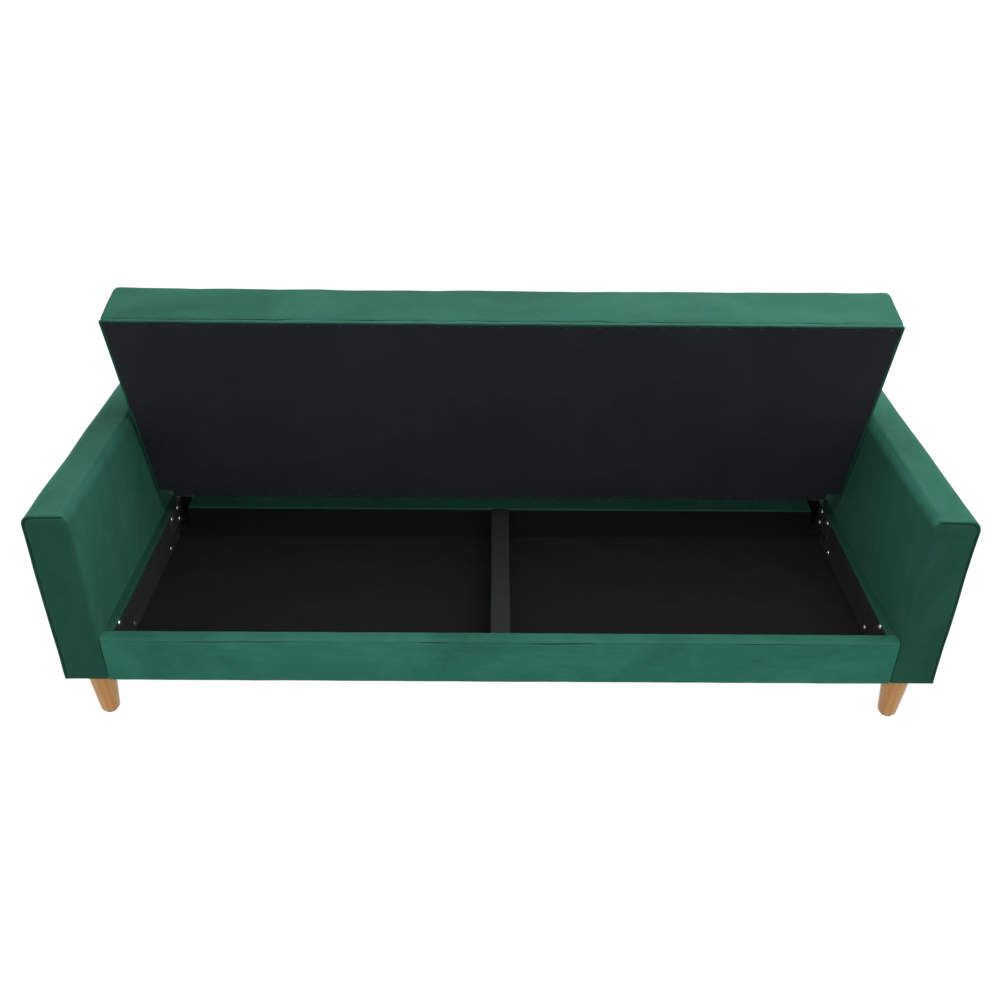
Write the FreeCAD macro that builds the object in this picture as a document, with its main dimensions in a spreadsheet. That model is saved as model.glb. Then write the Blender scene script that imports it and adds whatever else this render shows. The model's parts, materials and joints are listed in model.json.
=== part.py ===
import FreeCAD, Part
import os
import re
import Sketcher

# Futon sofa bed with a storage box under a lifting seat. Millimetres, +Z up, +X along its length.
# The origin is on the floor, under the middle of the whole sofa bed as modelled: the seat is
# lifted off the storage box and the back lies flat behind it.
# Lengths called "y" in the sheet are measured back from the front face of the arms, and lengths
# called "z" are measured up from the bottom of the body, which is the top of the legs.
CELLS = {
    "overall_width": 1900,
    "leg_height": 150,
    "arm_width": 95,
    "arm_depth": 740,
    "arm_height": 428,
    "arm_pad": 8,
    "arm_top_pad": 12,
    "arm_outer_round": 22,
    "arm_edge_round": 6,
    "arm_post": 44,
    "arm_panel": 4,
    "rail_top_z": 117,
    "rail_thick": 26,
    "side_rail_thick": 21,
    "rear_rail_y": 520,
    "rear_rail_thick": 57,
    "velvet": 2,
    "slack": 0.5,
    "cloth": 1,
    "divider_width": 40,
    "notch_width": 34,
    "notch_z": 50,
    "cleat": 16,
    "floor_panel": 4,
    "seat_width": 1700,
    "seat_depth": 538,
    "seat_thick": 128,
    "seat_z": 120,
    "seat_rear_round": 28,
    "seat_round": 10,
    "seat_pivot_y": 545.4,
    "seat_pivot_z": 188.9,
    "seat_open_angle": 74.8,
    "side_pad": 4,
    "rear_pad": 14,
    "top_pad": 10,
    "board": 22,
    "seat_frame_height": 58,
    "slat_thick": 8,
    "slat_width": 64,
    "back_y": 599,
    "back_length": 445,
    "back_thick": 115,
    "back_round": 22,
    "back_pad": 9,
    "back_frame_height": 44,
    "back_board": 16,
    "plate": 3,
    "boss_radius": 12,
    "back_boss_radius": 11,
    "pin_radius": 5,
    "back_pin_radius": 6,
    "running_gap": 0.06,
    "head_radius": 5,
    "head_height": 2.5,
    "shank_radius": 3,
    "bolt_length": 45,
    "screw_length": 18,
    "leg_top_radius": 33,
    "leg_foot_radius": 21,
    "leg_foot_round": 6,
    "leg_front_y": 70,
    "leg_rear_y": 670,
    "leg_plate_size": 70,
    "leg_plate": 2.5,
    "glide": 3,
    "glide_radius": 15,
    "hanger_radius": 4,
}

FRONT = "-(back_y + back_length) / 2"
INNER = "(overall_width / 2 - arm_width)"
SIDE_FACE = "(overall_width / 2 - arm_width - slack - side_rail_thick)"
NOTCH_X = "(overall_width / 2 - arm_width - slack - side_rail_thick - notch_width)"
SEAT_END = "(seat_width / 2 - side_pad)"
SEAT_REAR = "(seat_depth - rear_pad)"
FRAME_Z = "(seat_z + cloth)"
SLAT_Z = "(seat_z + cloth + seat_frame_height)"
SEAT_TOP = "(seat_z + seat_thick)"
LEAF_X = "(overall_width / 2 - arm_width - slack - side_rail_thick - cloth - 3 * plate)"
BACK_PIVOT_Y = "(back_y + back_round)"
BACK_PIVOT_Z = "(seat_z + seat_thick - back_round)"
BACK_Z = "(seat_z + seat_thick - back_thick)"
BACK_SLAT_Z = "(seat_z + seat_thick - back_thick + cloth + back_frame_height)"
BACK_END = "(seat_width / 2 - side_pad)"
SLAT_COUNT = 9
SIDES = (("left", -1), ("right", 1))

# Bolts in each side wall of the box: y, z. The first group also holds the hinge plate.
HINGE_BOLTS = ((526, 110), (528, 76), (474, 108))
SIDE_BOLTS = ((437, 44), (64, 107), (135, 48))
# Screws in the seat's and the back's hinge plates, measured from each pivot.
LEAF_SCREWS = [(f"seat_pivot_y - {reach}", "seat_pivot_z - 32") for reach in (102, 78, 54)]
BACK_PLATE_SCREWS = [
    (f"{BACK_PIVOT_Y} + {reach}", f"{BACK_PIVOT_Z} - 70") for reach in (30, 70, 110)]

doc = FreeCAD.newDocument("FutonSofaBed")
sheet = doc.addObject("Spreadsheet::Sheet", "Dims")
for row, (alias, value) in enumerate(CELLS.items(), start=1):
    sheet.set(f"A{row}", alias)
    sheet.set(f"B{row}", str(value))
    sheet.setAlias(f"B{row}", alias)
doc.recompute()

subparts = []


def bound(text):
    """Turn names of driving dimensions into references to the sheet's cells."""
    return re.sub(r"[a-z_]+", lambda found: f"Dims.{found.group()}", str(text))


def size(alias):
    """The value of one driving dimension, for the few properties that take no expression."""
    return float(getattr(sheet, alias))


def keep(item, label):
    """Name an object as a sub-part to export."""
    item.Label = label
    subparts.append(item)
    return item


def place(item, x="0", y="0", z="0"):
    """Bind a place: x from the middle, y from the arms' front face, z from the body's bottom."""
    item.setExpression("Placement.Base.x", bound(x))
    item.setExpression("Placement.Base.y", bound(f"{FRONT} + {y}"))
    item.setExpression("Placement.Base.z", bound(f"leg_height + {z}"))
    return item


def block(name, x, y, z):
    """A box from three (start, end) pairs of expressions."""
    box = doc.addObject("Part::Box", name)
    for prop, (start, end) in (("Length", x), ("Width", y), ("Height", z)):
        box.setExpression(prop, bound(f"({end}) - ({start})"))
    return place(box, f"({x[0]})", f"({y[0]})", f"({z[0]})")


def side_span(sign, near, far):
    """The x span between two distances from the middle, on one side."""
    return (near, far) if sign > 0 else (f"-({far})", f"-({near})")


def cut(name, base, *tools):
    """A Part::Cut of one base by one or more tools."""
    tool = tools[0]
    if len(tools) > 1:
        tool = doc.addObject("Part::MultiFuse", f"{name}_tools")
        tool.Shapes = list(tools)
    result = doc.addObject("Part::Cut", name)
    result.Base = base
    result.Tool = tool
    return result


def rounded(name, base, radii):
    """Fillet a box's edges: radii maps a test on the edge's middle and direction to a radius."""
    doc.recompute()
    low = base.Shape.BoundBox
    chosen = []
    for number, edge in enumerate(base.Shape.Edges, start=1):
        middle = edge.CenterOfMass
        where = "".join(letter for letter, value, start, end in (
            ("x", middle.x, low.XMin, low.XMax),
            ("y", middle.y, low.YMin, low.YMax),
            ("z", middle.z, low.ZMin, low.ZMax),
        ) if abs(value - start) < 0.01)
        where += "".join(letter for letter, value, end in (
            ("X", middle.x, low.XMax), ("Y", middle.y, low.YMax), ("Z", middle.z, low.ZMax),
        ) if abs(value - end) < 0.01)
        if where in radii:
            chosen.append((number, radii[where], radii[where]))
    fillet = doc.addObject("Part::Fillet", name)
    fillet.Base = base
    fillet.Edges = chosen
    return fillet


def group(label, items):
    """Several separate solids in one sub-part."""
    compound = doc.addObject("Part::Compound", f"{label}_group")
    compound.Links = list(items)
    return keep(compound, label)


def on_seat(item, x="0"):
    """Turn a piece drawn on the closed seat up about the seat's pivot, to its lifted place."""
    turn = "create(<<rotation>>; create(<<vector>>; 1; 0; 0); -Dims.seat_open_angle)"
    centre_y = bound(f"{FRONT} + seat_pivot_y")
    centre_z = bound("leg_height + seat_pivot_z")
    centre = f"create(<<vector>>; 0; {centre_y}; {centre_z})"
    shift = f"create(<<vector>>; {bound(x)}; 0; 0)"
    item.setExpression("Placement", f"create(<<placement>>; {shift}; {turn}; {centre})")
    return item


def seat_block(label, *spans):
    """One box of the seat, exported in its lifted place."""
    holder = doc.addObject("Part::Compound", f"{label}_holder")
    holder.Links = [block(f"{label}_box", *spans)]
    return keep(on_seat(holder), label)


def new_sketch(body, name, role):
    """A sketch on one of its body's own origin planes."""
    sketch = body.newObject("Sketcher::SketchObject", name)
    plane = next(item for item in body.Origin.OriginFeatures if item.Role == role)
    sketch.AttachmentSupport = [(plane, "")]
    sketch.MapMode = "FlatFace"
    return sketch


def fix_point(sketch, geometry, end, across, along):
    """Bind a point's distances from the sketch's origin, or lay it on an axis."""
    for kind, text, axis in (("DistanceX", across, -2), ("DistanceY", along, -1)):
        if text == "0":
            sketch.addConstraint(Sketcher.Constraint("PointOnObject", geometry, end, axis))
            continue
        value = sheet_value(text)
        number = sketch.addConstraint(Sketcher.Constraint(kind, -1, 1, geometry, end, value))
        sketch.setExpression(f"Constraints[{number}]", bound(text))


def sheet_value(text):
    """The present value of an expression over the sheet, for a sketch's first shape."""
    probe.setExpression("Radius", bound(f"abs({text}) + 1").replace("Dims.abs", "abs"))
    probe.recompute()
    distance = probe.Radius.Value - 1
    probe.setExpression("Radius", bound(f"abs({text} + 5000)").replace("Dims.abs", "abs"))
    probe.recompute()
    return distance if probe.Radius.Value > 5000 else -distance


probe = doc.addObject("Part::Sphere", "Probe")


def outline(sketch, points):
    """A closed outline of straight lines through bound points."""
    places = [FreeCAD.Vector(sheet_value(a), sheet_value(b), 0) for a, b in points]
    count = len(points)
    for index in range(count):
        line = Part.LineSegment(places[index], places[(index + 1) % count])
        sketch.addGeometry(line, False)
    for index in range(count):
        follower = (index + 1) % count
        sketch.addConstraint(Sketcher.Constraint("Coincident", index, 2, follower, 1))
    for index, (across, along) in enumerate(points):
        fix_point(sketch, index, 1, across, along)


def circle(sketch, across, along, radius):
    """A bound circle in a sketch."""
    centre = FreeCAD.Vector(sheet_value(across), sheet_value(along), 0)
    shape = Part.Circle(centre, FreeCAD.Vector(0, 0, 1), sheet_value(radius))
    number = sketch.addGeometry(shape, False)
    fix_point(sketch, number, 3, across, along)
    limit = sketch.addConstraint(Sketcher.Constraint("Radius", number, shape.Radius))
    sketch.setExpression(f"Constraints[{limit}]", bound(radius))


def padded_plate(label, points, holes, boss, thick="plate"):
    """A steel plate drawn in the YZ plane with round holes and a round end about its pivot."""
    body = doc.addObject("PartDesign::Body", f"{label}_body")
    sketch = new_sketch(body, f"{label}_outline", "YZ_Plane")
    outline(sketch, points)
    pad = body.newObject("PartDesign::Pad", f"{label}_pad")
    pad.Profile = sketch
    pad.setExpression("Length", bound(thick))
    doc.recompute()
    round_end = new_sketch(body, f"{label}_round", "YZ_Plane")
    circle(round_end, boss[0], boss[1], boss[2])
    boss_pad = body.newObject("PartDesign::Pad", f"{label}_boss")
    boss_pad.Profile = round_end
    boss_pad.setExpression("Length", bound(thick))
    doc.recompute()
    solid_volume = body.Shape.Volume
    drilling = new_sketch(body, f"{label}_holes", "YZ_Plane")
    for across, along, radius in holes:
        circle(drilling, across, along, radius)
    pocket = body.newObject("PartDesign::Pocket", f"{label}_pocket")
    pocket.Profile = drilling
    pocket.Type = "ThroughAll"
    pocket.Midplane = True
    doc.recompute()
    assert body.Shape.Volume < solid_volume, label
    return keep(body, label)


def turned(label, points, role="XZ_Plane", axis="V_Axis"):
    """A body of revolution from a half outline."""
    body = doc.addObject("PartDesign::Body", f"{label}_body")
    sketch = new_sketch(body, f"{label}_outline", role)
    outline(sketch, points)
    revolution = body.newObject("PartDesign::Revolution", f"{label}_turn")
    revolution.Profile = sketch
    revolution.ReferenceAxis = (sketch, [axis])
    revolution.Angle = 360
    return body


def cylinder_x(name, x, y, z, radius, length):
    """A round bar along +X that starts at x."""
    bar = doc.addObject("Part::Cylinder", name)
    bar.setExpression("Radius", bound(radius))
    bar.setExpression("Height", bound(length))
    bar.Placement = FreeCAD.Placement(
        FreeCAD.Vector(), FreeCAD.Rotation(FreeCAD.Vector(0, 1, 0), 90))
    return place(bar, x, str(y), str(z))


def headed(name, sign, face, y, z, length):
    """A bolt or screw driven outwards through a wall, with its head on the wall's inner face."""
    head_x = f"{face} - head_height" if sign > 0 else f"-({face})"
    shank_x = face if sign > 0 else f"-({face}) - {length}"
    head = cylinder_x(f"{name}_head", head_x, y, z, "head_radius", "head_height")
    shank = cylinder_x(f"{name}_shank", shank_x, y, z, "shank_radius", length)
    whole = doc.addObject("Part::Fuse", name)
    whole.Base = head
    whole.Tool = shank
    return whole


def make_rails():
    """Front, side and rear rails of the storage box, each wrapped in velvet."""
    across = (f"-({INNER} - slack)", f"{INNER} - slack")
    wood_z = ("2 * velvet", "rail_top_z - velvet")
    full_z = ("0", "rail_top_z")
    board = block("front_board", across, ("velvet", "rail_thick - velvet"), wood_z)
    keep(board, "front_rail")
    skin = block("front_skin", across, ("0", "rail_thick"), full_z)
    room = block("front_room", across, ("velvet", "rail_thick - velvet"), ("-1", "rail_top_z - velvet"))
    keep(cut("front_wrap", skin, room), "front_rail_cover")

    rear_end = "rear_rail_y + rear_rail_thick"
    for side, sign in SIDES:
        wall = side_span(sign, SIDE_FACE, f"{INNER} - slack")
        core = side_span(sign, f"{SIDE_FACE} + velvet", f"{INNER} - slack - velvet")
        length = ("rail_thick", rear_end)
        keep(block(f"side_board_{side}", core, length, wood_z), f"side_rail_{side}")
        skin = block(f"side_skin_{side}", wall, length, full_z)
        room = block(f"side_room_{side}", core, length, ("-1", "rail_top_z - velvet"))
        keep(cut(f"side_wrap_{side}", skin, room), f"side_rail_cover_{side}")

    beam_y = ("rear_rail_y + velvet", f"{rear_end} - velvet")
    beam = block("rear_beam", (f"-{SIDE_FACE}", SIDE_FACE), beam_y, wood_z)
    wide = ("rear_rail_y - velvet", f"{rear_end} + velvet")
    notches = [
        block(f"rear_notch_{side}", side_span(sign, NOTCH_X, f"{SIDE_FACE} + slack"), wide,
              ("notch_z", "rail_top_z + 1"))
        for side, sign in SIDES
    ]
    keep(cut("rear_beam_notched", beam, *notches), "rear_rail")
    middle = (f"-{NOTCH_X}", NOTCH_X)
    skin = block("rear_skin", middle, ("rear_rail_y", rear_end), full_z)
    room = block("rear_room", middle, beam_y, ("-1", "rail_top_z - velvet"))
    keep(cut("rear_wrap", skin, room), "rear_rail_cover")


def make_storage_box():
    """Divider, floor panels on cleats, and a cloth lining in each half of the box."""
    half = "divider_width / 2"
    length = ("rail_thick", "rear_rail_y")
    core = (f"cloth - {half}", f"{half} - cloth")
    keep(block("divider_core", core, length, ("2 * velvet", "rail_top_z - 2 * cloth")), "divider_board")
    sleeve = block("divider_skin", (f"-{half}", half), length, ("0", "rail_top_z - cloth"))
    room = block("divider_room", core, length, ("-1", "rail_top_z - 2 * cloth"))
    keep(cut("divider_wrap", sleeve, room), "divider_cover")

    floor_z = ("2 * velvet + cleat", "2 * velvet + cleat + floor_panel")
    lining_z = floor_z[1]
    cleats = []
    for side, sign in SIDES:
        span = side_span(sign, half, SIDE_FACE)
        keep(block(f"floor_{side}", span, length, floor_z), f"floor_panel_{side}")
        for end, rows in (("front", ("rail_thick", "rail_thick + cleat")),
                          ("rear", ("rear_rail_y - cleat", "rear_rail_y"))):
            cleats.append(block(f"cleat_{end}_{side}", span, rows, ("2 * velvet", floor_z[0])))
        outer = block(f"lining_outer_{side}", span, length, (lining_z, "rail_top_z - 2 * velvet"))
        room = block(
            f"lining_room_{side}",
            side_span(sign, f"{half} + cloth", f"{SIDE_FACE} - cloth"),
            ("rail_thick + cloth", "rear_rail_y - cloth"),
            (f"{lining_z} + cloth", "rail_top_z"))
        mouth = block(
            f"lining_mouth_{side}",
            side_span(sign, NOTCH_X, f"{SIDE_FACE} - cloth"),
            ("rear_rail_y - 2 * cloth", "rear_rail_y + cloth"),
            ("notch_z", "rail_top_z"))
        keep(cut(f"lining_{side}", outer, room, mouth), f"storage_lining_{side}")
    group("floor_cleats", cleats)


def make_arms():
    """Each arm: a timber ring, two panels on it, and a padded velvet cover open underneath."""
    far = "overall_width / 2"
    for side, sign in SIDES:
        shell = block(f"arm_block_{side}", side_span(sign, INNER, far), ("0", "arm_depth"),
                      ("0", "arm_height"))
        outer, inner = ("X", "x") if sign > 0 else ("x", "X")
        small = size("arm_edge_round")
        soft = rounded(f"arm_soft_{side}", shell, {
            f"{outer}Z" if outer == "X" else "xZ": size("arm_outer_round"),
            f"{inner}Z" if inner == "X" else "xZ": small,
        })
        hollow_x = side_span(sign, f"{INNER} + arm_pad", f"{far} - arm_pad")
        hollow_y = ("arm_pad", "arm_depth - arm_pad")
        frame_top = "arm_height - arm_top_pad"
        room = block(f"arm_room_{side}", hollow_x, hollow_y, ("-1", frame_top))
        keep(cut(f"arm_shell_{side}", soft, room), f"arm_cover_{side}")

        ring_x = side_span(sign, f"{INNER} + arm_pad + arm_panel", f"{far} - arm_pad - arm_panel")
        ring = block(f"arm_ring_{side}", ring_x, hollow_y, ("leg_plate", frame_top))
        gap = block(
            f"arm_gap_{side}",
            side_span(sign, INNER, far),
            ("arm_pad + arm_post", "arm_depth - arm_pad - arm_post"),
            ("leg_plate + board", f"{frame_top} - board"))
        keep(cut(f"arm_frame_cut_{side}", ring, gap), f"arm_frame_{side}")
        panels = [
            block(f"arm_panel_{name}_{side}", side_span(sign, start, end), hollow_y,
                  ("leg_plate", frame_top))
            for name, start, end in (
                ("inner", f"{INNER} + arm_pad", f"{INNER} + arm_pad + arm_panel"),
                ("outer", f"{far} - arm_pad - arm_panel", f"{far} - arm_pad"))
        ]
        group(f"arm_panels_{side}", panels)


def make_legs():
    """Four turned wooden legs, each with a plate, a hanger bolt and a glide."""
    plates = []
    bolts = []
    glides = []
    centre = f"({INNER} + overall_width / 2) / 2"
    for row in ("front", "rear"):
        for side, sign in SIDES:
            name = f"leg_{row}_{side}"
            x = centre if sign > 0 else f"-{centre}"
            y = f"leg_{row}_y"
            leg = turned(name, (
                ("0", "glide - leg_height"),
                ("leg_foot_radius - leg_foot_round", "glide - leg_height"),
                ("leg_foot_radius", "glide + leg_foot_round - leg_height"),
                ("leg_top_radius", "0"),
                ("0", "0"),
            ))
            keep(place(leg, x, y), name)
            half = "leg_plate_size / 2"
            plates.append(block(
                f"{name}_plate",
                (f"{x} - {half}", f"{x} + {half}"),
                (f"{y} - {half}", f"{y} + {half}"),
                ("0", "leg_plate")))
            bolts.append(upright_bar(f"{name}_bolt", x, y, "-35", "hanger_radius", "35 + board"))
            glides.append(upright_bar(
                f"{name}_glide", x, y, "-leg_height", "glide_radius", "glide"))
    group("leg_plates", plates)
    group("leg_hanger_bolts", bolts)
    group("foot_glides", glides)


def upright_bar(name, x, y, z, radius, length):
    """A round bar along +Z that starts at z."""
    bar = doc.addObject("Part::Cylinder", name)
    bar.setExpression("Radius", bound(radius))
    bar.setExpression("Height", bound(length))
    return place(bar, x, y, z)


def make_base_hinges():
    """Hinge plates and pins that carry the seat, and the flanged pins that carry the back."""
    washers = []
    pins = []
    for side, sign in SIDES:
        plate = padded_plate(
            f"hinge_plate_{side}",
            (("seat_pivot_y - 86", "rail_top_z - 51"), ("seat_pivot_y + 16", "rail_top_z - 51"),
             ("seat_pivot_y + boss_radius", "rail_top_z"),
             ("seat_pivot_y + boss_radius", "seat_pivot_z"),
             ("seat_pivot_y - boss_radius", "seat_pivot_z"),
             ("seat_pivot_y - boss_radius", "rail_top_z"), ("seat_pivot_y - 86", "rail_top_z")),
            [(str(y), str(z), "shank_radius + running_gap") for y, z in HINGE_BOLTS]
            + [("seat_pivot_y", "seat_pivot_z", "pin_radius + running_gap")],
            ("seat_pivot_y", "seat_pivot_z", "boss_radius"))
        start = f"{LEAF_X} + 2 * plate"
        place(plate, start if sign > 0 else f"-({start}) - plate")

        washer_x = f"{LEAF_X} + plate"
        ring = cylinder_x(
            f"washer_{side}", washer_x if sign > 0 else f"-({washer_x}) - plate",
            "seat_pivot_y", "seat_pivot_z", "boss_radius - 1", "plate - 0.4")
        bore = cylinder_x(
            f"washer_bore_{side}", washer_x if sign > 0 else f"-({washer_x}) - plate",
            "seat_pivot_y", "seat_pivot_z", "pin_radius + running_gap", "plate")
        washers.append(cut(f"washer_ring_{side}", ring, bore))

        pin_start = f"{LEAF_X} - 2"
        reach = "3 * plate + 3"
        shank = cylinder_x(
            f"pin_shank_{side}", pin_start if sign > 0 else f"-({pin_start}) - ({reach})",
            "seat_pivot_y", "seat_pivot_z", "pin_radius", reach)
        head_start = f"{LEAF_X} - 4"
        head = cylinder_x(
            f"pin_head_{side}", head_start if sign > 0 else f"-({head_start}) - 3",
            "seat_pivot_y", "seat_pivot_z", "pin_radius + 3", "3")
        pin = doc.addObject("Part::Fuse", f"pin_{side}")
        pin.Base = shank
        pin.Tool = head
        pins.append(pin)

        # Drawn in the XZ plane about the X axis: stud in the arm, flange, and the back's journal.
        face = INNER
        journal = turned(f"back_pivot_{side}", (
            (f"{face} - 25", "0"),
            (f"{face} - 25", "back_pin_radius"),
            (f"{face} - plate", "back_pin_radius"),
            (f"{face} - plate", "boss_radius + 6"),
            (face, "boss_radius + 6"),
            (face, "shank_radius + 1"),
            (f"{face} + board", "shank_radius + 1"),
            (f"{face} + board", "0"),
        ) if sign > 0 else (
            (f"25 - {face}", "0"),
            (f"25 - {face}", "back_pin_radius"),
            (f"plate - {face}", "back_pin_radius"),
            (f"plate - {face}", "boss_radius + 6"),
            (f"-{face}", "boss_radius + 6"),
            (f"-{face}", "shank_radius + 1"),
            (f"-{face} - board", "shank_radius + 1"),
            (f"-{face} - board", "0"),
        ), axis="H_Axis")
        keep(place(journal, "0", BACK_PIVOT_Y, BACK_PIVOT_Z), f"back_pivot_{side}")
    group("seat_pivot_washers", washers)
    group("seat_pivot_pins", pins)


def make_bolts():
    """Bolts through the box's side walls: three in each hinge plate, three straight into the arm."""
    hinge = []
    side_wall = []
    for side, sign in SIDES:
        for number, (y, z) in enumerate(HINGE_BOLTS):
            hinge.append(headed(
                f"hinge_bolt_{side}_{number}", sign, f"({LEAF_X} + 2 * plate)", y, z, "bolt_length"))
        for number, (y, z) in enumerate(SIDE_BOLTS):
            side_wall.append(headed(
                f"side_bolt_{side}_{number}", sign, f"({SIDE_FACE} - cloth)", y, z, "bolt_length"))
    group("hinge_bolts", hinge)
    group("side_bolts", side_wall)


def make_seat():
    """The lifting seat: timber frame, slats, foam, velvet cover, dust cover and hinge leaves."""
    frame_z = (FRAME_Z, SLAT_Z)
    seat_block("seat_front_rail", (f"-{SEAT_END}", SEAT_END), ("side_pad", "side_pad + board"), frame_z)
    rear_x = (f"-({LEAF_X})", LEAF_X)
    seat_block("seat_rear_rail", rear_x, (f"{SEAT_REAR} - board", SEAT_REAR), frame_z)
    for side, sign in SIDES:
        span = side_span(sign, f"{LEAF_X} + plate", SEAT_END)
        seat_block(f"seat_end_rail_{side}", span, ("side_pad + board", SEAT_REAR), frame_z)
    slats = []
    for index in range(SLAT_COUNT):
        middle = f"({index} - {SLAT_COUNT - 1} / 2) * (seat_width - 160) / {SLAT_COUNT - 1}"
        slats.append(block(
            f"seat_slat_{index}",
            (f"{middle} - slat_width / 2", f"{middle} + slat_width / 2"),
            ("side_pad", SEAT_REAR),
            (SLAT_Z, f"{SLAT_Z} + slat_thick")))
    on_seat(group("seat_slats", slats))
    foam_z = (f"{SLAT_Z} + slat_thick", f"{SEAT_TOP} - top_pad")
    seat_block("seat_foam", (f"-{SEAT_END}", SEAT_END), ("side_pad", SEAT_REAR), foam_z)

    half = "seat_width / 2"
    shell = block("seat_block", (f"-{half}", half), ("0", "seat_depth"), ("seat_z", SEAT_TOP))
    edge = size("seat_round")
    soft = rounded("seat_soft", shell, {
        "YZ": size("seat_rear_round"), "yZ": edge, "xZ": edge, "XZ": edge,
    })
    room = block("seat_room", (f"-{SEAT_END}", SEAT_END), ("side_pad", SEAT_REAR),
                 ("seat_z - 1", f"{SEAT_TOP} - top_pad"))
    slots = [
        block(f"seat_slot_{side}", side_span(sign, f"{LEAF_X} - 7", f"{LEAF_X} + 13"),
              (f"{SEAT_REAR} - 1", "seat_depth + 1"),
              ("seat_z - 1", "seat_pivot_z + boss_radius + 2"))
        for side, sign in SIDES
    ]
    holder = doc.addObject("Part::Compound", "seat_cover_holder")
    holder.Links = [cut("seat_shell", soft, room, *slots)]
    keep(on_seat(holder), "seat_cover")
    seat_block("seat_dust_cover", (f"-{SEAT_END}", SEAT_END), ("side_pad", SEAT_REAR),
               ("seat_z", FRAME_Z))

    screws = []
    for side, sign in SIDES:
        leaf = padded_plate(
            f"seat_hinge_leaf_{side}",
            [(f"{FRONT} + seat_pivot_y - {reach}", f"leg_height + seat_pivot_z + ({rise})")
             for reach, rise in ((114, -48), (24, -48), (0, "-boss_radius"),
                                 (0, 2), (48, -13), (114, -13))],
            [(f"{FRONT} + {y}", f"leg_height + {z}", "shank_radius + running_gap")
             for y, z in LEAF_SCREWS]
            + [(f"{FRONT} + seat_pivot_y", "leg_height + seat_pivot_z", "pin_radius + running_gap")],
            (f"{FRONT} + seat_pivot_y", "leg_height + seat_pivot_z", "boss_radius"))
        on_seat(leaf, LEAF_X if sign > 0 else f"-({LEAF_X}) - plate")
        for number, (y, z) in enumerate(LEAF_SCREWS):
            screws.append(headed(f"leaf_screw_{side}_{number}", sign, LEAF_X, y, z, "screw_length"))
    on_seat(group("seat_leaf_screws", screws))


def make_back():
    """The back, lying flat: timber frame, slats, foam, velvet cover, rear panel and hinge plates."""
    end = "back_y + back_length"
    room_y = ("back_y + back_pad", f"{end} - side_pad")
    frame_z = (f"{BACK_Z} + cloth", BACK_SLAT_Z)
    plate_x = "(seat_width / 2 - side_pad - 5 - plate)"
    inside_x = (f"-{BACK_END}", BACK_END)
    rail_x = (f"back_board - {plate_x}", f"{plate_x} - back_board")
    keep(block("back_lower", rail_x, (room_y[0], f"{room_y[0]} + board"), frame_z), "back_lower_rail")
    keep(block("back_upper", rail_x, (f"{room_y[1]} - board", room_y[1]), frame_z), "back_upper_rail")
    for side, sign in SIDES:
        span = side_span(sign, f"{plate_x} - back_board", plate_x)
        keep(block(f"back_end_{side}", span, room_y, frame_z), f"back_end_rail_{side}")
    slats = []
    for index in range(SLAT_COUNT):
        middle = f"({index} - {SLAT_COUNT - 1} / 2) * (seat_width - 160) / {SLAT_COUNT - 1}"
        slats.append(block(
            f"back_slat_{index}",
            (f"{middle} - slat_width / 2", f"{middle} + slat_width / 2"),
            (f"{room_y[0]} + back_board", room_y[1]),
            (BACK_SLAT_Z, f"{BACK_SLAT_Z} + slat_thick")))
    group("back_slats", slats)
    foam_x = f"({plate_x} - 8)"
    keep(block("back_foam_block", (f"-{foam_x}", foam_x), room_y,
               (f"{BACK_SLAT_Z} + slat_thick", f"{SEAT_TOP} - top_pad")), "back_foam")

    half = "seat_width / 2"
    shell = block("back_block", (f"-{half}", half), ("back_y", end), (BACK_Z, SEAT_TOP))
    edge = size("seat_round")
    soft = rounded("back_soft", shell, {
        "yZ": size("back_round"), "YZ": edge, "xZ": edge, "XZ": edge,
    })
    room = block("back_room", inside_x, room_y, (f"{BACK_Z} - 1", f"{SEAT_TOP} - top_pad"))
    eye = cylinder_x("back_eye", f"-{half} - 1", BACK_PIVOT_Y, BACK_PIVOT_Z,
                     "back_pin_radius + 1", "seat_width + 2")
    keep(cut("back_shell", soft, room, eye), "back_cover")
    keep(block("back_rear_cloth", inside_x, room_y, (BACK_Z, f"{BACK_Z} + cloth")), "back_rear_panel")

    screws = []
    for side, sign in SIDES:
        plate = padded_plate(
            f"back_hinge_plate_{side}",
            [(f"{BACK_PIVOT_Y} + ({reach})", f"{BACK_PIVOT_Z} + ({rise})")
             for reach, rise in ((-5, -15), (0, 8), (15, 1), (130, -53), (130, -87), (15, -87))],
            [(y, z, "shank_radius + running_gap") for y, z in BACK_PLATE_SCREWS]
            + [(BACK_PIVOT_Y, BACK_PIVOT_Z, "back_pin_radius + running_gap")],
            (BACK_PIVOT_Y, BACK_PIVOT_Z, "back_boss_radius"))
        place(plate, plate_x if sign > 0 else f"-({plate_x}) - plate")
        for number, (y, z) in enumerate(BACK_PLATE_SCREWS):
            face = f"({plate_x} + plate)"
            head_x = face if sign > 0 else f"-{face} - head_height"
            shank_x = f"{face} - screw_length" if sign > 0 else f"-{face}"
            head = cylinder_x(f"back_head_{side}_{number}", head_x, y, z,
                              "head_radius", "head_height")
            shank = cylinder_x(f"back_shank_{side}_{number}", shank_x, y, z,
                               "shank_radius", "screw_length")
            screw = doc.addObject("Part::Fuse", f"back_screw_{side}_{number}")
            screw.Base = head
            screw.Tool = shank
            screws.append(screw)
    group("back_plate_screws", screws)


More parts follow.
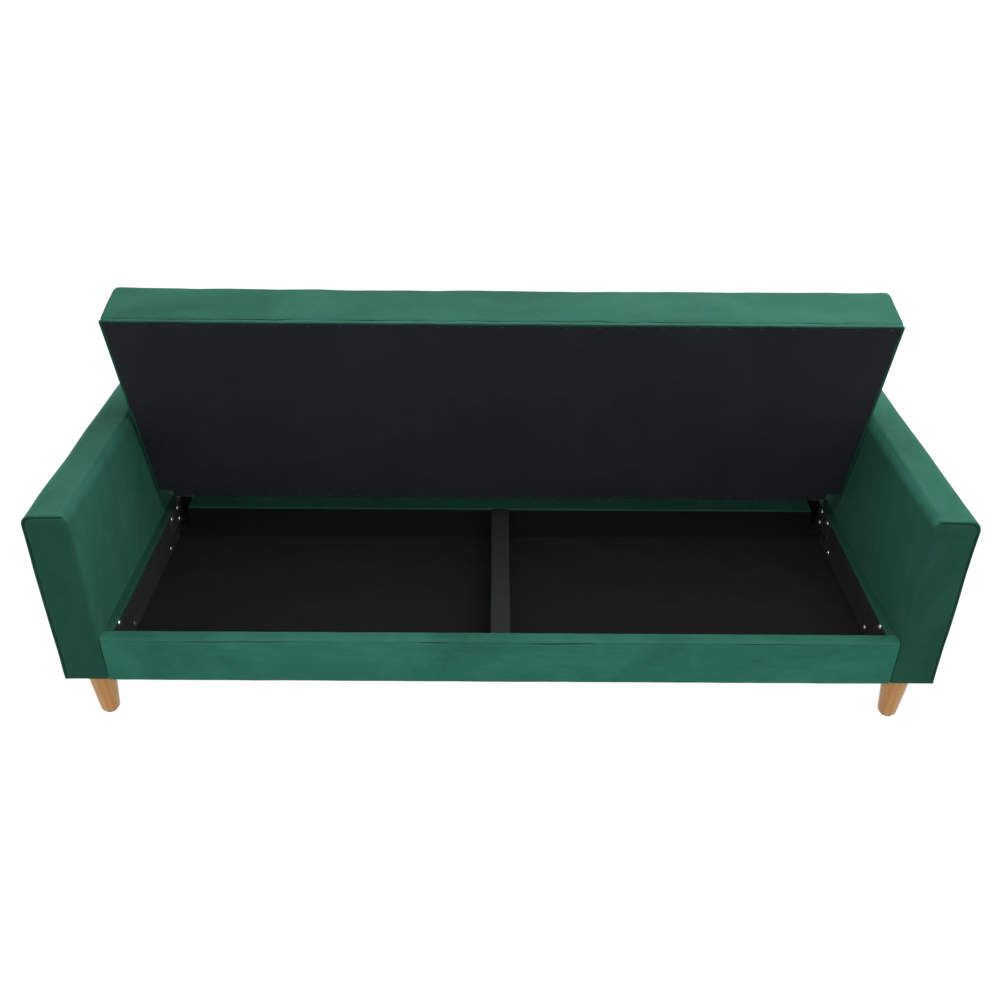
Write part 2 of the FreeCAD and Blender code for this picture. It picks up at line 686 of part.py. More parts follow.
def check_and_export():
    """Stop on any failed object or bad shape, then write one STEP file per sub-part."""
    doc.recompute()
    for item in doc.Objects:
        if {"Invalid", "Error"} & set(item.State):
            raise RuntimeError(f"{item.Name} ({item.Label}) failed: {item.State}")
    for item in subparts:
        if item.Shape.isNull() or not item.Shape.isValid():
            raise RuntimeError(f"{item.Label} has a bad shape")
    os.makedirs("parts", exist_ok=True)
    for item in subparts:
        item.Shape.exportStep(f"parts/{item.Label}.step")
        box = item.Shape.BoundBox
        print(f"{item.Label}: {len(item.Shape.Solids)} solid(s), "
              f"x {box.XMin:.1f}..{box.XMax:.1f} y {box.YMin:.1f}..{box.YMax:.1f} "
              f"z {box.ZMin:.1f}..{box.ZMax:.1f}")
    print(f"{len(subparts)} sub-parts")


make_rails()
make_storage_box()
make_arms()
make_legs()
make_base_hinges()
make_bolts()
make_seat()
make_back()
doc.removeObject(probe.Name)
check_and_export()
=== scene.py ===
import json
import math

import bmesh
import bpy
import numpy as np
from mathutils import Matrix, Vector


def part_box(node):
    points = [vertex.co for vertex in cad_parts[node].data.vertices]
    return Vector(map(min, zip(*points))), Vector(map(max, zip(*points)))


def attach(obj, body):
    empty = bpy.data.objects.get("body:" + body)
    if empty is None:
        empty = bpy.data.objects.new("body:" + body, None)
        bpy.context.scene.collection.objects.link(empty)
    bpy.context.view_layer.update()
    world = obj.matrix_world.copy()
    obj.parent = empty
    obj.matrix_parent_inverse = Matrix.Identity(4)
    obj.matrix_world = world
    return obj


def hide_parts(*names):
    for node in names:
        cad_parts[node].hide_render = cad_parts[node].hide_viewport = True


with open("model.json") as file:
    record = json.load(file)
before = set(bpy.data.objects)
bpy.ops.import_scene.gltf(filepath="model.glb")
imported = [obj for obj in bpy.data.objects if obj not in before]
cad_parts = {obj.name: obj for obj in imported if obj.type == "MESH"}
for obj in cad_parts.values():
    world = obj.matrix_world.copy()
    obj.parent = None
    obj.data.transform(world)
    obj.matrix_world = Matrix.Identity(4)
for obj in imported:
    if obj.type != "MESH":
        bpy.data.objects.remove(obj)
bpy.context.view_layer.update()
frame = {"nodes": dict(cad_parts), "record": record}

MM = 0.001
SIDES = (("left", -1), ("right", 1))
SEAT_JOINT = next(j for j in frame["record"]["behaviour"]["joints"] if j["name"] == "seat_lift")
SEAT_PIVOT = Vector(SEAT_JOINT["pos_m"])
SEAT_OPEN = math.radians(SEAT_JOINT["range_deg"][1])
LIFT_SEAT = (Matrix.Translation(SEAT_PIVOT) @ Matrix.Rotation(-SEAT_OPEN, 4, "X")
             @ Matrix.Translation(-SEAT_PIVOT))

scene = bpy.context.scene
scene.view_settings.view_transform = "Standard"


# ---- materials

class Shader:
    """Builds one node material around a Principled shader."""

    def __init__(self, name):
        self.material = bpy.data.materials.new(name)
        self.material.use_nodes = True
        self.tree = self.material.node_tree
        self.shader = self.tree.nodes["Principled BSDF"]
        self.place = self.add("TexCoord").outputs["Object"]

    def fill(self, node, values):
        """Sets or links a node's inputs, by number or named with _ for each space."""
        for name, value in values.items():
            socket = node.inputs[name if isinstance(name, int) else name.replace("_", " ")]
            if isinstance(value, bpy.types.NodeSocket):
                self.tree.links.new(value, socket)
            else:
                socket.default_value = value

    def add(self, kind, **values):
        node = self.tree.nodes.new("ShaderNode" + kind)
        self.fill(node, values)
        return node

    def set(self, **values):
        """Sets or links the Principled shader's own inputs."""
        self.fill(self.shader, values)

    def stretched(self, scale, turn=(0, 0, 0)):
        return self.add("Mapping", Scale=scale, Rotation=turn, Vector=self.place).outputs["Vector"]

    def noise(self, scale, detail, rough, vector=None, distortion=0.0):
        """Cloudy noise; scale is in features a metre."""
        return self.add("TexNoise", Scale=scale, Detail=detail, Roughness=rough,
                        Distortion=distortion, Vector=vector or self.place).outputs["Fac"]

    def cells(self, scale):
        return self.add("TexVoronoi", Scale=scale, Vector=self.place).outputs["Distance"]

    def wave(self, scale, distortion, detail, vector, kind="BANDS"):
        node = self.add("TexWave", Scale=scale, Distortion=distortion, Detail=detail,
                        Detail_Scale=1.2, Vector=vector)
        node.wave_type = kind
        return node.outputs["Fac"]

    def ramp(self, source, *stops):
        """A colour ramp from (position, colour) stops."""
        node = self.add("ValToRGB", Fac=source)
        elements = node.color_ramp.elements
        while len(elements) < len(stops):
            elements.new(0.5)
        for element, (position, colour) in zip(elements, stops):
            element.position = position
            element.color = (*colour, 1)
        return node.outputs["Color"]

    def cloudy(self, source, dark, light):
        return self.ramp(source, (0.3, dark), (0.7, light))

    def span(self, source, low, high, start=0.25, end=0.75):
        """Maps a field from the range start to end to the range low to high."""
        return self.add("MapRange", From_Min=start, From_Max=end, To_Min=low, To_Max=high,
                        Value=source).outputs["Result"]

    def mix(self, amount, first, second, blend="MIX"):
        node = self.add("Mix")
        node.data_type = "RGBA"
        node.blend_type = blend
        # The colour sockets of this node have no names of their own.
        self.fill(node, {number: (*value, 1) if isinstance(value, tuple) else value
                         for number, value in ((0, amount), (6, first), (7, second))})
        return node.outputs[2]

    def bump(self, *layers):
        """Stacked bumps from (height field, strength, depth in metres) layers."""
        below = {}
        for height, strength, depth in layers:
            node = self.add("Bump", Strength=strength, Distance=depth, Height=height, **below)
            below = {"Normal": node.outputs["Normal"]}
        self.set(**below)

    def edges(self, low=0.505, high=0.56):
        """A mask of outer edges: where a surface wears, and where velvet is painted lighter as
        sheen.
        """
        return self.span(self.add("NewGeometry").outputs["Pointiness"], 0, 1, low, high)


def scaled(colour, factor):
    return tuple(c * factor for c in colour)


def velvet(name, level=1.0, nap=(1.0, 1.0, 0.35), seed=0.0, upright_painted_light=1.0):
    """Short-pile velvet: crushed nap in soft patches, fine fibres, and lighter edges, painted
    sheen together with edge wear.

    level is how light it is, nap how far the patches are drawn out along each axis, and the last
    argument how much lighter upright sides are painted than tops: painted light, for light that
    the lamps don't bring to them."""
    s = Shader(name)
    crush = s.noise(5.2, 4, 0.62, s.stretched(nap, (0.1 + seed, 0.3 + seed, seed)), 0.7)
    brush = s.noise(24, 5, 0.65, s.stretched((nap[0], nap[1], nap[2] * 2), (seed, 0.2, 0.5)), 0.9)
    fibre = s.noise(1400, 2, 0.6)
    pile = s.noise(520, 3, 0.7)
    dark = scaled((0.0092, 0.066, 0.0435), level)
    middle = scaled((0.0140, 0.092, 0.061), level)
    light = scaled((0.0245, 0.125, 0.086), level)
    base = s.ramp(crush, (0.30, dark), (0.50, middle), (0.72, light))
    patches = s.mix(s.span(brush, 0, 0.42, 0.42, 0.72), base, light)
    shaded = s.mix(s.span(brush, 0.34, 0, 0.28, 0.5), patches, dark)
    grains = s.mix(s.span(fibre, 0.0, 0.35), shaded, dark)
    # Painted sheen with edge wear: outer edges are painted lighter.
    colour = s.mix(s.span(s.edges(), 0, 0.35, 0, 1), grains, scaled((0.040, 0.165, 0.115), level))
    # Painted light: upright sides are painted lighter than tops, standing in for light the lamps
    # don't bring to them.
    if upright_painted_light != 1:
        facing_out = s.add("SeparateXYZ", Vector=s.add("NewGeometry").outputs["Normal"])
        painted_lit_sides = s.mix(1.0, colour, (upright_painted_light,) * 3, "MULTIPLY")
        colour = s.mix(s.span(facing_out.outputs["Z"], 1, 0, 0.1, 0.7), colour, painted_lit_sides)
    s.set(Base_Color=colour, Roughness=s.span(brush, 0.62, 0.88), Sheen_Weight=0.35,
          Sheen_Roughness=0.35, Sheen_Tint=(0.24, 0.80, 0.56, 1), Specular_IOR_Level=0.12)
    s.bump((crush, 0.35, 0.0016), (brush, 0.45, 0.0009), (pile, 0.30, 0.0003),
           (fibre, 0.25, 0.0002))
    return s.material


def nonwoven(name, colour):
    """Black spunbond cloth: matted fibres with a fine embossed dot pattern."""
    s = Shader(name)
    dots = s.cells(420)
    matted = s.noise(90, 6, 0.7)
    cloud = s.noise(5, 4, 0.6, distortion=0.4)
    base = s.cloudy(cloud, scaled(colour, 0.74), scaled(colour, 1.26))
    flecks = s.mix(s.span(matted, 0, 0.45, 0.5, 0.8), base, scaled(colour, 2.1))
    s.set(Base_Color=s.mix(s.span(dots, 0.4, 0.0, 0.0, 0.35), flecks, scaled(colour, 0.35)),
          Roughness=s.span(matted, 0.7, 0.95), Specular_IOR_Level=0.16, Sheen_Weight=0.06,
          Sheen_Roughness=0.5)
    s.bump((cloud, 0.3, 0.002), (matted, 0.25, 0.0005), (dots, 0.5, 0.0003))
    return s.material


def turned_beech(name):
    """Clear-lacquered beech: long straight grain and short flecks."""
    s = Shader(name)
    rings = s.wave(22, 3.5, 3, s.stretched((1, 1, 0.12), (0.02, 0.05, 0)))
    grain = s.noise(160, 5, 0.65, s.stretched((1, 1, 0.05)))
    fleck = s.noise(420, 2, 0.5, s.stretched((1, 1, 0.16)))
    base = s.ramp(rings, (0.1, (0.86, 0.38, 0.085)), (0.55, (0.91, 0.43, 0.105)),
                  (0.95, (0.95, 0.48, 0.130)))
    fine = s.mix(s.span(grain, 0, 0.35), base, (0.66, 0.29, 0.085))
    s.set(Base_Color=s.mix(s.span(fleck, 0, 0.5, 0.60, 0.78), fine, (0.42, 0.17, 0.055)),
          Roughness=s.span(grain, 0.34, 0.52), Coat_Weight=0.35, Coat_Roughness=0.22,
          Specular_IOR_Level=0.45)
    s.bump((grain, 0.15, 0.0004), (fleck, 0.2, 0.0002))
    return s.material


def sawn_pine(name):
    """Rough-sawn pine: wide rings, resin streaks, saw marks."""
    s = Shader(name)
    rings = s.wave(7, 7, 4, s.stretched((0.22, 1.0, 1.3), (0.05, 0.04, 0.1)), "RINGS")
    grain = s.noise(120, 6, 0.7, s.stretched((0.08, 1, 1)))
    saw = s.wave(150, 1.5, 2, s.stretched((1, 0.2, 0.2)))
    base = s.ramp(rings, (0.15, (0.42, 0.245, 0.11)), (0.6, (0.60, 0.41, 0.21)),
                  (0.95, (0.68, 0.49, 0.28)))
    s.set(Base_Color=s.mix(s.span(grain, 0, 0.45), base, (0.36, 0.20, 0.09)),
          Roughness=s.span(grain, 0.65, 0.9))
    s.bump((saw, 0.2, 0.0004), (grain, 0.3, 0.0005))
    return s.material


def pressed_board(name):
    """Hardboard: brown pressed fibres."""
    s = Shader(name)
    fibre = s.noise(240, 6, 0.75)
    base = s.cloudy(s.noise(9, 4, 0.6), (0.14, 0.072, 0.036), (0.21, 0.115, 0.058))
    s.set(Base_Color=s.mix(s.span(fibre, 0, 0.6), base, (0.09, 0.045, 0.022)),
          Roughness=s.span(fibre, 0.45, 0.75))
    s.bump((fibre, 0.3, 0.0003))
    return s.material


def powder_coat(name):
    """Black powder coat with orange peel and a little wear on the edges."""
    s = Shader(name)
    scuff = s.noise(60, 6, 0.7)
    worn = s.mix(s.span(s.edges(0.52, 0.62), 0, 0.4, 0, 1), (0.013, 0.013, 0.015),
                 (0.09, 0.09, 0.095))
    s.set(Base_Color=s.mix(s.span(scuff, 0, 0.5, 0.55, 0.8), worn, (0.028, 0.028, 0.031)),
          Roughness=s.span(scuff, 0.45, 0.68), Specular_IOR_Level=0.3)
    s.bump((s.noise(700, 3, 0.5), 0.35, 0.0002))
    return s.material


def zinc_plate(name):
    """Bright zinc-plated steel with cloudy passivation."""
    s = Shader(name)
    cloud = s.noise(180, 5, 0.6)
    s.set(Base_Color=s.cloudy(cloud, (0.80, 0.81, 0.83), (0.94, 0.95, 0.96)),
          Roughness=s.span(cloud, 0.22, 0.42), Metallic=1.0)
    s.bump((s.noise(1500, 3, 0.6), 0.12, 0.0001))
    return s.material


def moulded_nylon(name):
    """Black nylon with a fine spark-eroded grain."""
    s = Shader(name)
    grain = s.noise(900, 4, 0.6)
    s.set(Base_Color=s.cloudy(s.noise(40, 3, 0.5), (0.012, 0.012, 0.013), (0.022, 0.022, 0.024)),
          Roughness=s.span(grain, 0.5, 0.72))
    s.bump((grain, 0.35, 0.0002))
    return s.material


def cut_foam(name):
    """Cut polyurethane foam: open cells."""
    s = Shader(name)
    cell = s.cells(600)
    cloud = s.noise(12, 3, 0.5)
    base = s.cloudy(cloud, (0.66, 0.56, 0.30), (0.76, 0.68, 0.42))
    s.set(Base_Color=s.mix(s.span(cell, 0.5, 0, 0, 0.4), base, (0.42, 0.34, 0.16)),
          Roughness=s.span(cloud, 0.8, 0.95))
    s.bump((cell, 0.6, 0.0006))
    return s.material


VELVET = velvet("velvet_band", 0.98, (0.55, 1.0, 1.0))
# Painted light: the rails' copy is painted lighter, and its sides that don't face up lighter
# still.
VELVET_RAIL_PAINTED_LIGHT = velvet("velvet_rail_painted_light", 1.20, (0.6, 1.0, 1.0), 0.4, 2.15)
VELVET_REAR = velvet("velvet_rear", 0.95, (0.6, 1.0, 1.0), 0.6)
VELVET_ARM = velvet("velvet_arm", 1.06, (1.0, 1.0, 0.45), 0.9)
# Painted shade: the side rails' copy is painted darker.
VELVET_SIDE_PAINTED_SHADE = velvet("velvet_side_painted_shade", 0.62, (1.0, 0.6, 1.0), 0.2)
# Painted shade: a dark copy for thin pieces that stand in for the shade in seams, creases and
# folds.
VELVET_SEAM_SHADE = velvet("velvet_seam_shade", 0.30)
LINING = nonwoven("nonwoven_lining", (0.0022, 0.0025, 0.0031))
DUST_CLOTH = nonwoven("nonwoven_dust", (0.0136, 0.0156, 0.0215))
SLEEVE_CLOTH = nonwoven("nonwoven_sleeve", (0.0095, 0.0125, 0.0122))
BEECH = turned_beech("lacquered_beech")
ZINC = zinc_plate("bright_zinc")
NODE_MATERIALS = {
    "frame_wood": sawn_pine("sawn_pine"),
    "hardboard": pressed_board("pressed_board"),
    "leg_wood": BEECH,
    "black_steel": powder_coat("black_powder_coat"),
    "zinc_steel": ZINC,
    "black_plastic": moulded_nylon("black_nylon"),
    "foam": cut_foam("cut_foam"),
    "velvet": VELVET,
    "lining": LINING,
}


# ---- mesh tools

class Waves:
    """A smooth random field over space: a seeded sum of sine waves, roughly -1 to 1."""

    COUNT = 14

    def __init__(self, seed, length):
        rng = np.random.RandomState(seed)
        ways = rng.normal(size=(self.COUNT, 3))
        ways /= np.linalg.norm(ways, axis=1)[:, None]
        spans = length * rng.uniform(0.7, 1.6, self.COUNT)
        self.turns = ways * (2 * math.pi / spans)[:, None]
        self.phase = rng.uniform(0, 2 * math.pi, self.COUNT)

    def __call__(self, points):
        return np.sin(points @ self.turns.T + self.phase).sum(axis=1) / math.sqrt(self.COUNT)


def uneven(places, *layers):
    """Soft unevenness in metres, summed from (seed, wave length, height in mm) layers."""
    return sum(Waves(seed, length)(places) * height * MM for seed, length, height in layers)


def quarter(steps, first=0, last=None):
    """Angles of a quarter turn, from step first to the one before last."""
    return [math.pi / 2 * i / steps for i in range(first, last or steps)]


def circle(steps):
    return [2 * math.pi * i / steps for i in range(steps)]


def outward(shape):
    """Turns a bmesh's faces outward."""
    bmesh.ops.recalc_face_normals(shape, faces=shape.faces[:])
    return shape


def web(shape, rows, closed=False, keep=None):
    """Makes the faces between rows of vertices, or those of them that keep allows."""
    for first, second in zip(rows, rows[1:]):
        for i in range(len(first) - (not closed)):
            j = (i + 1) % len(first)
            corners = (first[i], first[j], second[j], second[i])
            if keep is None or keep(corners):
                shape.faces.new(corners)


def skin(shape, rings):
    """Makes the faces between closed rings of vertices and over both ends."""
    web(shape, rings, closed=True)
    shape.faces.new(list(reversed(rings[0])))
    shape.faces.new(rings[-1])


def spread(start, end, step, fine=()):
    """Evenly spaced places from start to end, with extra ones."""
    count = max(1, round((end - start) / step))
    places = [start + (end - start) * i / count for i in range(1, count)]
    return sorted([*places, *(p for p in fine if start < p < end)])


def soft_box(low, high, axis, corners, start=(0, {}), end=(0, {}), arc=6):
    """A box with rounded edges, as a bmesh: corners gives the radii of the edges along an axis,
    such as {"XZ": 0.02}, and start and end give how deep each end rounds over, and how far each
    of its sides comes in, which is the depth if it isn't given."""
    first, second = [a for a in range(3) if a != axis]
    a, b, far_a, far_b = (letters[n] for letters in ("xyz", "XYZ") for n in (first, second))
    shape = bmesh.new()

    def ring(place, depth, insets, part):
        pull = {side: insets.get(side, depth) * part for side in (a, b, far_a, far_b)}
        edge = {a: low[first] + pull[a], far_a: high[first] - pull[far_a],
                b: low[second] + pull[b], far_b: high[second] - pull[far_b]}
        verts = []
        for number, (one, two) in enumerate(((a, b), (far_a, b), (far_a, far_b), (a, far_b))):
            full = corners.get(one + two, 0)
            radius = max(full - min(pull[one], pull[two]), 0.4 * MM) if full else 0
            centre = (edge[one] + radius * (1 if one.islower() else -1),
                      edge[two] + radius * (1 if two.islower() else -1))
            for k in range(arc + 1 if full else 1):
                angle = math.pi + math.pi / 2 * (number + k / arc)
                spot = [0.0, 0.0, 0.0]
                spot[axis] = place
                spot[first] = centre[0] + radius * math.cos(angle)
                spot[second] = centre[1] + radius * math.sin(angle)
                verts.append(shape.verts.new(spot))
        return verts

    rings = []
    turns = quarter(arc)
    if start[0]:
        rings += [ring(low[axis] + start[0] * (1 - math.cos(t)), *start, 1 - math.sin(t))
                  for t in turns]
    rings.append(ring(low[axis] + start[0], *start, 0))
    rings.append(ring(high[axis] - end[0], *end, 0))
    if end[0]:
        rings += [ring(high[axis] - end[0] * (1 - math.cos(t)), *end, 1 - math.sin(t))
                  for t in reversed(turns)]
    skin(shape, rings)
    return outward(shape)


def sliced(shape, *axes):
    """Cuts a bmesh's faces at planes, one list of places an axis, so it has points to shape."""
    for axis, places in enumerate(axes):
        normal = Vector([float(a == axis) for a in range(3)])
        for place in places:
            point = normal * place
            bmesh.ops.bisect_plane(shape, geom=shape.verts[:] + shape.edges[:] + shape.faces[:],
                                   dist=1e-5, plane_co=point, plane_no=normal)
    return shape


def points_of(mesh):
    """A mesh's vertex places and normals, as arrays."""
    places = np.empty(len(mesh.vertices) * 3)
    normals = np.empty(len(mesh.vertices) * 3)
    mesh.vertices.foreach_get("co", places)
    mesh.vertex_normals.foreach_get("vector", normals)
    return places.reshape(-1, 3), normals.reshape(-1, 3)


def set_points(mesh, places):
    mesh.vertices.foreach_set("co", places.ravel())
    mesh.update()


def mesh_from(shape, name):
    """Writes a bmesh to a new mesh and frees it."""
    mesh = bpy.data.meshes.new(name)
    shape.to_mesh(mesh)
    shape.free()
    return mesh


def linked(name, data):
    """A new object in the scene."""
    item = bpy.data.objects.new(name, data)
    scene.collection.objects.link(item)
    return item


def evaluated(item):
    """An object with its modifiers applied."""
    return item.evaluated_get(bpy.context.evaluated_depsgraph_get())


def make_piece(name, shape, material, body, replaces=(), smooth=35):
    """Turns a bmesh or mesh into a piece that rides on a body.

    smooth is the angle in degrees above which an edge stays sharp."""
    if isinstance(shape, bmesh.types.BMesh):
        mesh = mesh_from(outward(shape), name)
    else:
        mesh = shape
        mesh.name = name
    piece = linked(name, mesh)
    mesh.materials.clear()
    mesh.materials.append(material)
    mesh.shade_smooth()
    mesh.set_sharp_from_angle(angle=math.radians(smooth))
    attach(piece, body)
    if replaces:
        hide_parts(*replaces)
    return piece


def crown(places, normals, lo, hi, amounts, power=4):
    """Pushes each side out along its axis, most in the middle of the side."""
    lo, hi = np.array(lo), np.array(hi)
    across = np.clip(np.abs((places - lo) / (hi - lo) * 2 - 1), 0, 1)
    soft = 1 - across ** power
    moved = places.copy()
    for axis in range(3):
        first, second = [a for a in range(3) if a != axis]
        side = np.sign(normals[:, axis]) * normals[:, axis] ** 2
        moved[:, axis] += side * amounts[axis] * soft[:, first] * soft[:, second]
    return moved


def ridge(distance, width):
    """1 on a line and 0 away from it."""
    return np.exp(-(distance / width) ** 2)


def facing(normals, axis, sign, least=0.4):
    """1 where a surface faces one way, fading to 0."""
    return np.clip((normals[:, axis] * sign - least) / (1 - least), 0, 1)


def tube(points, radius, sides=8):
    """A closed tube through points, as a bmesh."""
    shape = bmesh.new()
    points = [Vector(p) for p in points]
    rings = []
    for index, point in enumerate(points):
        before = points[max(0, index - 1)]
        after = points[min(len(points) - 1, index + 1)]
        way = (after - before).normalized()
        helper = Vector((0, 0, 1)) if abs(way.z) < 0.9 else Vector((0, 1, 0))
        right = way.cross(helper).normalized()
        up = right.cross(way).normalized()
        taper = 0.55 if index in (0, len(points) - 1) else 1.0
        rings.append([
            shape.verts.new(point + (right * math.cos(a) + up * math.sin(a)) * radius * taper)
            for a in circle(sides)
        ])
    skin(shape, rings)
    return shape


def lathe(profile, centre, axis_matrix, segments):
    """A closed turned shape from (radius, height) points that start and end on the axis."""
    shape = bmesh.new()
    rings = []
    for radius, height in profile:
        if radius < 1e-7:
            rings.append([shape.verts.new((0, 0, height))])
        else:
            rings.append([
                shape.verts.new((radius * math.cos(a), radius * math.sin(a), height))
                for a in circle(segments)
            ])
    for first, second in zip(rings, rings[1:]):
        for i in range(segments):
            j = (i + 1) % segments
            if len(first) == 1:
                shape.faces.new((first[0], second[j], second[i]))
            elif len(second) == 1:
                shape.faces.new((first[i], first[j], second[0]))
            else:
                shape.faces.new((first[i], first[j], second[j], second[i]))
    bmesh.ops.transform(shape, matrix=Matrix.Translation(centre) @ axis_matrix, verts=shape.verts)
    return shape


def joined(shapes):
    """Several bmeshes as one."""
    whole = bmesh.new()
    for shape in shapes:
        mesh = mesh_from(shape, "part")
        whole.from_mesh(mesh)
        bpy.data.meshes.remove(mesh)
    return whole


def solids_of(node):
    """The lowest and highest corner of each separate solid of a CAD node, sorted by place."""
    shape = bmesh.new()
    shape.from_mesh(frame["nodes"][node].data)
    bmesh.ops.remove_doubles(shape, verts=shape.verts[:], dist=1e-6)
    left = set(shape.verts)
    found = []
    while left:
        stack = [left.pop()]
        group = []
        while stack:
            vert = stack.pop()
            group.append(tuple(vert.co))
            near = {edge.other_vert(vert) for edge in vert.link_edges} & left
            left -= near
            stack += near
        corners = np.array(group)
        found.append((Vector(corners.min(0)), Vector(corners.max(0))))
    shape.free()
    return sorted(found, key=lambda pair: tuple(round(v, 4) for v in pair[0]))


def thickened(shape, amount):
    """A sheet given a thickness on the far side of its normals, as a bmesh."""
    bmesh.ops.solidify(outward(shape), geom=shape.faces[:], thickness=amount)
    return shape


def mm(sizes):
    """Named sizes in millimetres, as metres."""
    return {name: size * MM for name, size in sizes.items()}


def inset(lo, hi, amounts):
    """A smaller box: amounts are (x, y, z) or one number."""
    if isinstance(amounts, (int, float)):
        amounts = (amounts,) * 3
    amounts = Vector(amounts)
    return lo + amounts, hi - amounts


# ---- cloth

SWELLING = 6 * MM
CLOTH_FRAMES = 20
FIRMNESS_LEVELS = 10


def inflate(shape, hold):
    """Swells an evenly meshed bmesh as tight cloth under pressure, and refines it once.

    hold maps places to 0 to 1, how firmly each point is held. The whole swelling is scaled down
    so that no point moves further than SWELLING."""
    mesh = mesh_from(outward(shape), "pad")
    pad = linked("pad", mesh)
    start, _ = points_of(mesh)
    group = pad.vertex_groups.new(name="held")
    firm = hold(start)
    for level in range(1, FIRMNESS_LEVELS + 1):
        chosen = np.nonzero(np.round(firm * FIRMNESS_LEVELS) == level)[0]
        if len(chosen):
            group.add([int(i) for i in chosen], level / FIRMNESS_LEVELS, "REPLACE")
    cloth = pad.modifiers.new("cloth", "CLOTH")
    for setting, value in dict(
            quality=5, mass=0.3, tension_stiffness=25, compression_stiffness=25,
            shear_stiffness=12, bending_stiffness=2.0, use_pressure=True,
            uniform_pressure_force=4.0, vertex_group_mass="held").items():
        setattr(cloth.settings, setting, value)
    cloth.settings.effector_weights.gravity = 0
    cloth.collision_settings.use_collision = False
    cloth.collision_settings.use_self_collision = False
    cloth.point_cache.frame_start = 1
    cloth.point_cache.frame_end = CLOTH_FRAMES
    for number in range(1, CLOTH_FRAMES + 1):
        scene.frame_set(number)
    swollen, _ = points_of(evaluated(pad).data)
    moved = swollen - start
    furthest = float(np.linalg.norm(moved, axis=1).max())
    places = start + moved * min(1.0, SWELLING / furthest)
    pad.modifiers.clear()
    scene.frame_set(1)
    set_points(mesh, places)
    refine = pad.modifiers.new("refine", "SUBSURF")
    refine.levels = 1
    refine.render_levels = 1
    fine = bpy.data.meshes.new_from_object(evaluated(pad))
    bpy.data.objects.remove(pad)
    return fine


# ---- arms

ARM_ROUND = 25 * MM
ARM_SEAM = 5.5 * MM
ARM_OUTWARD = 2.6 * MM


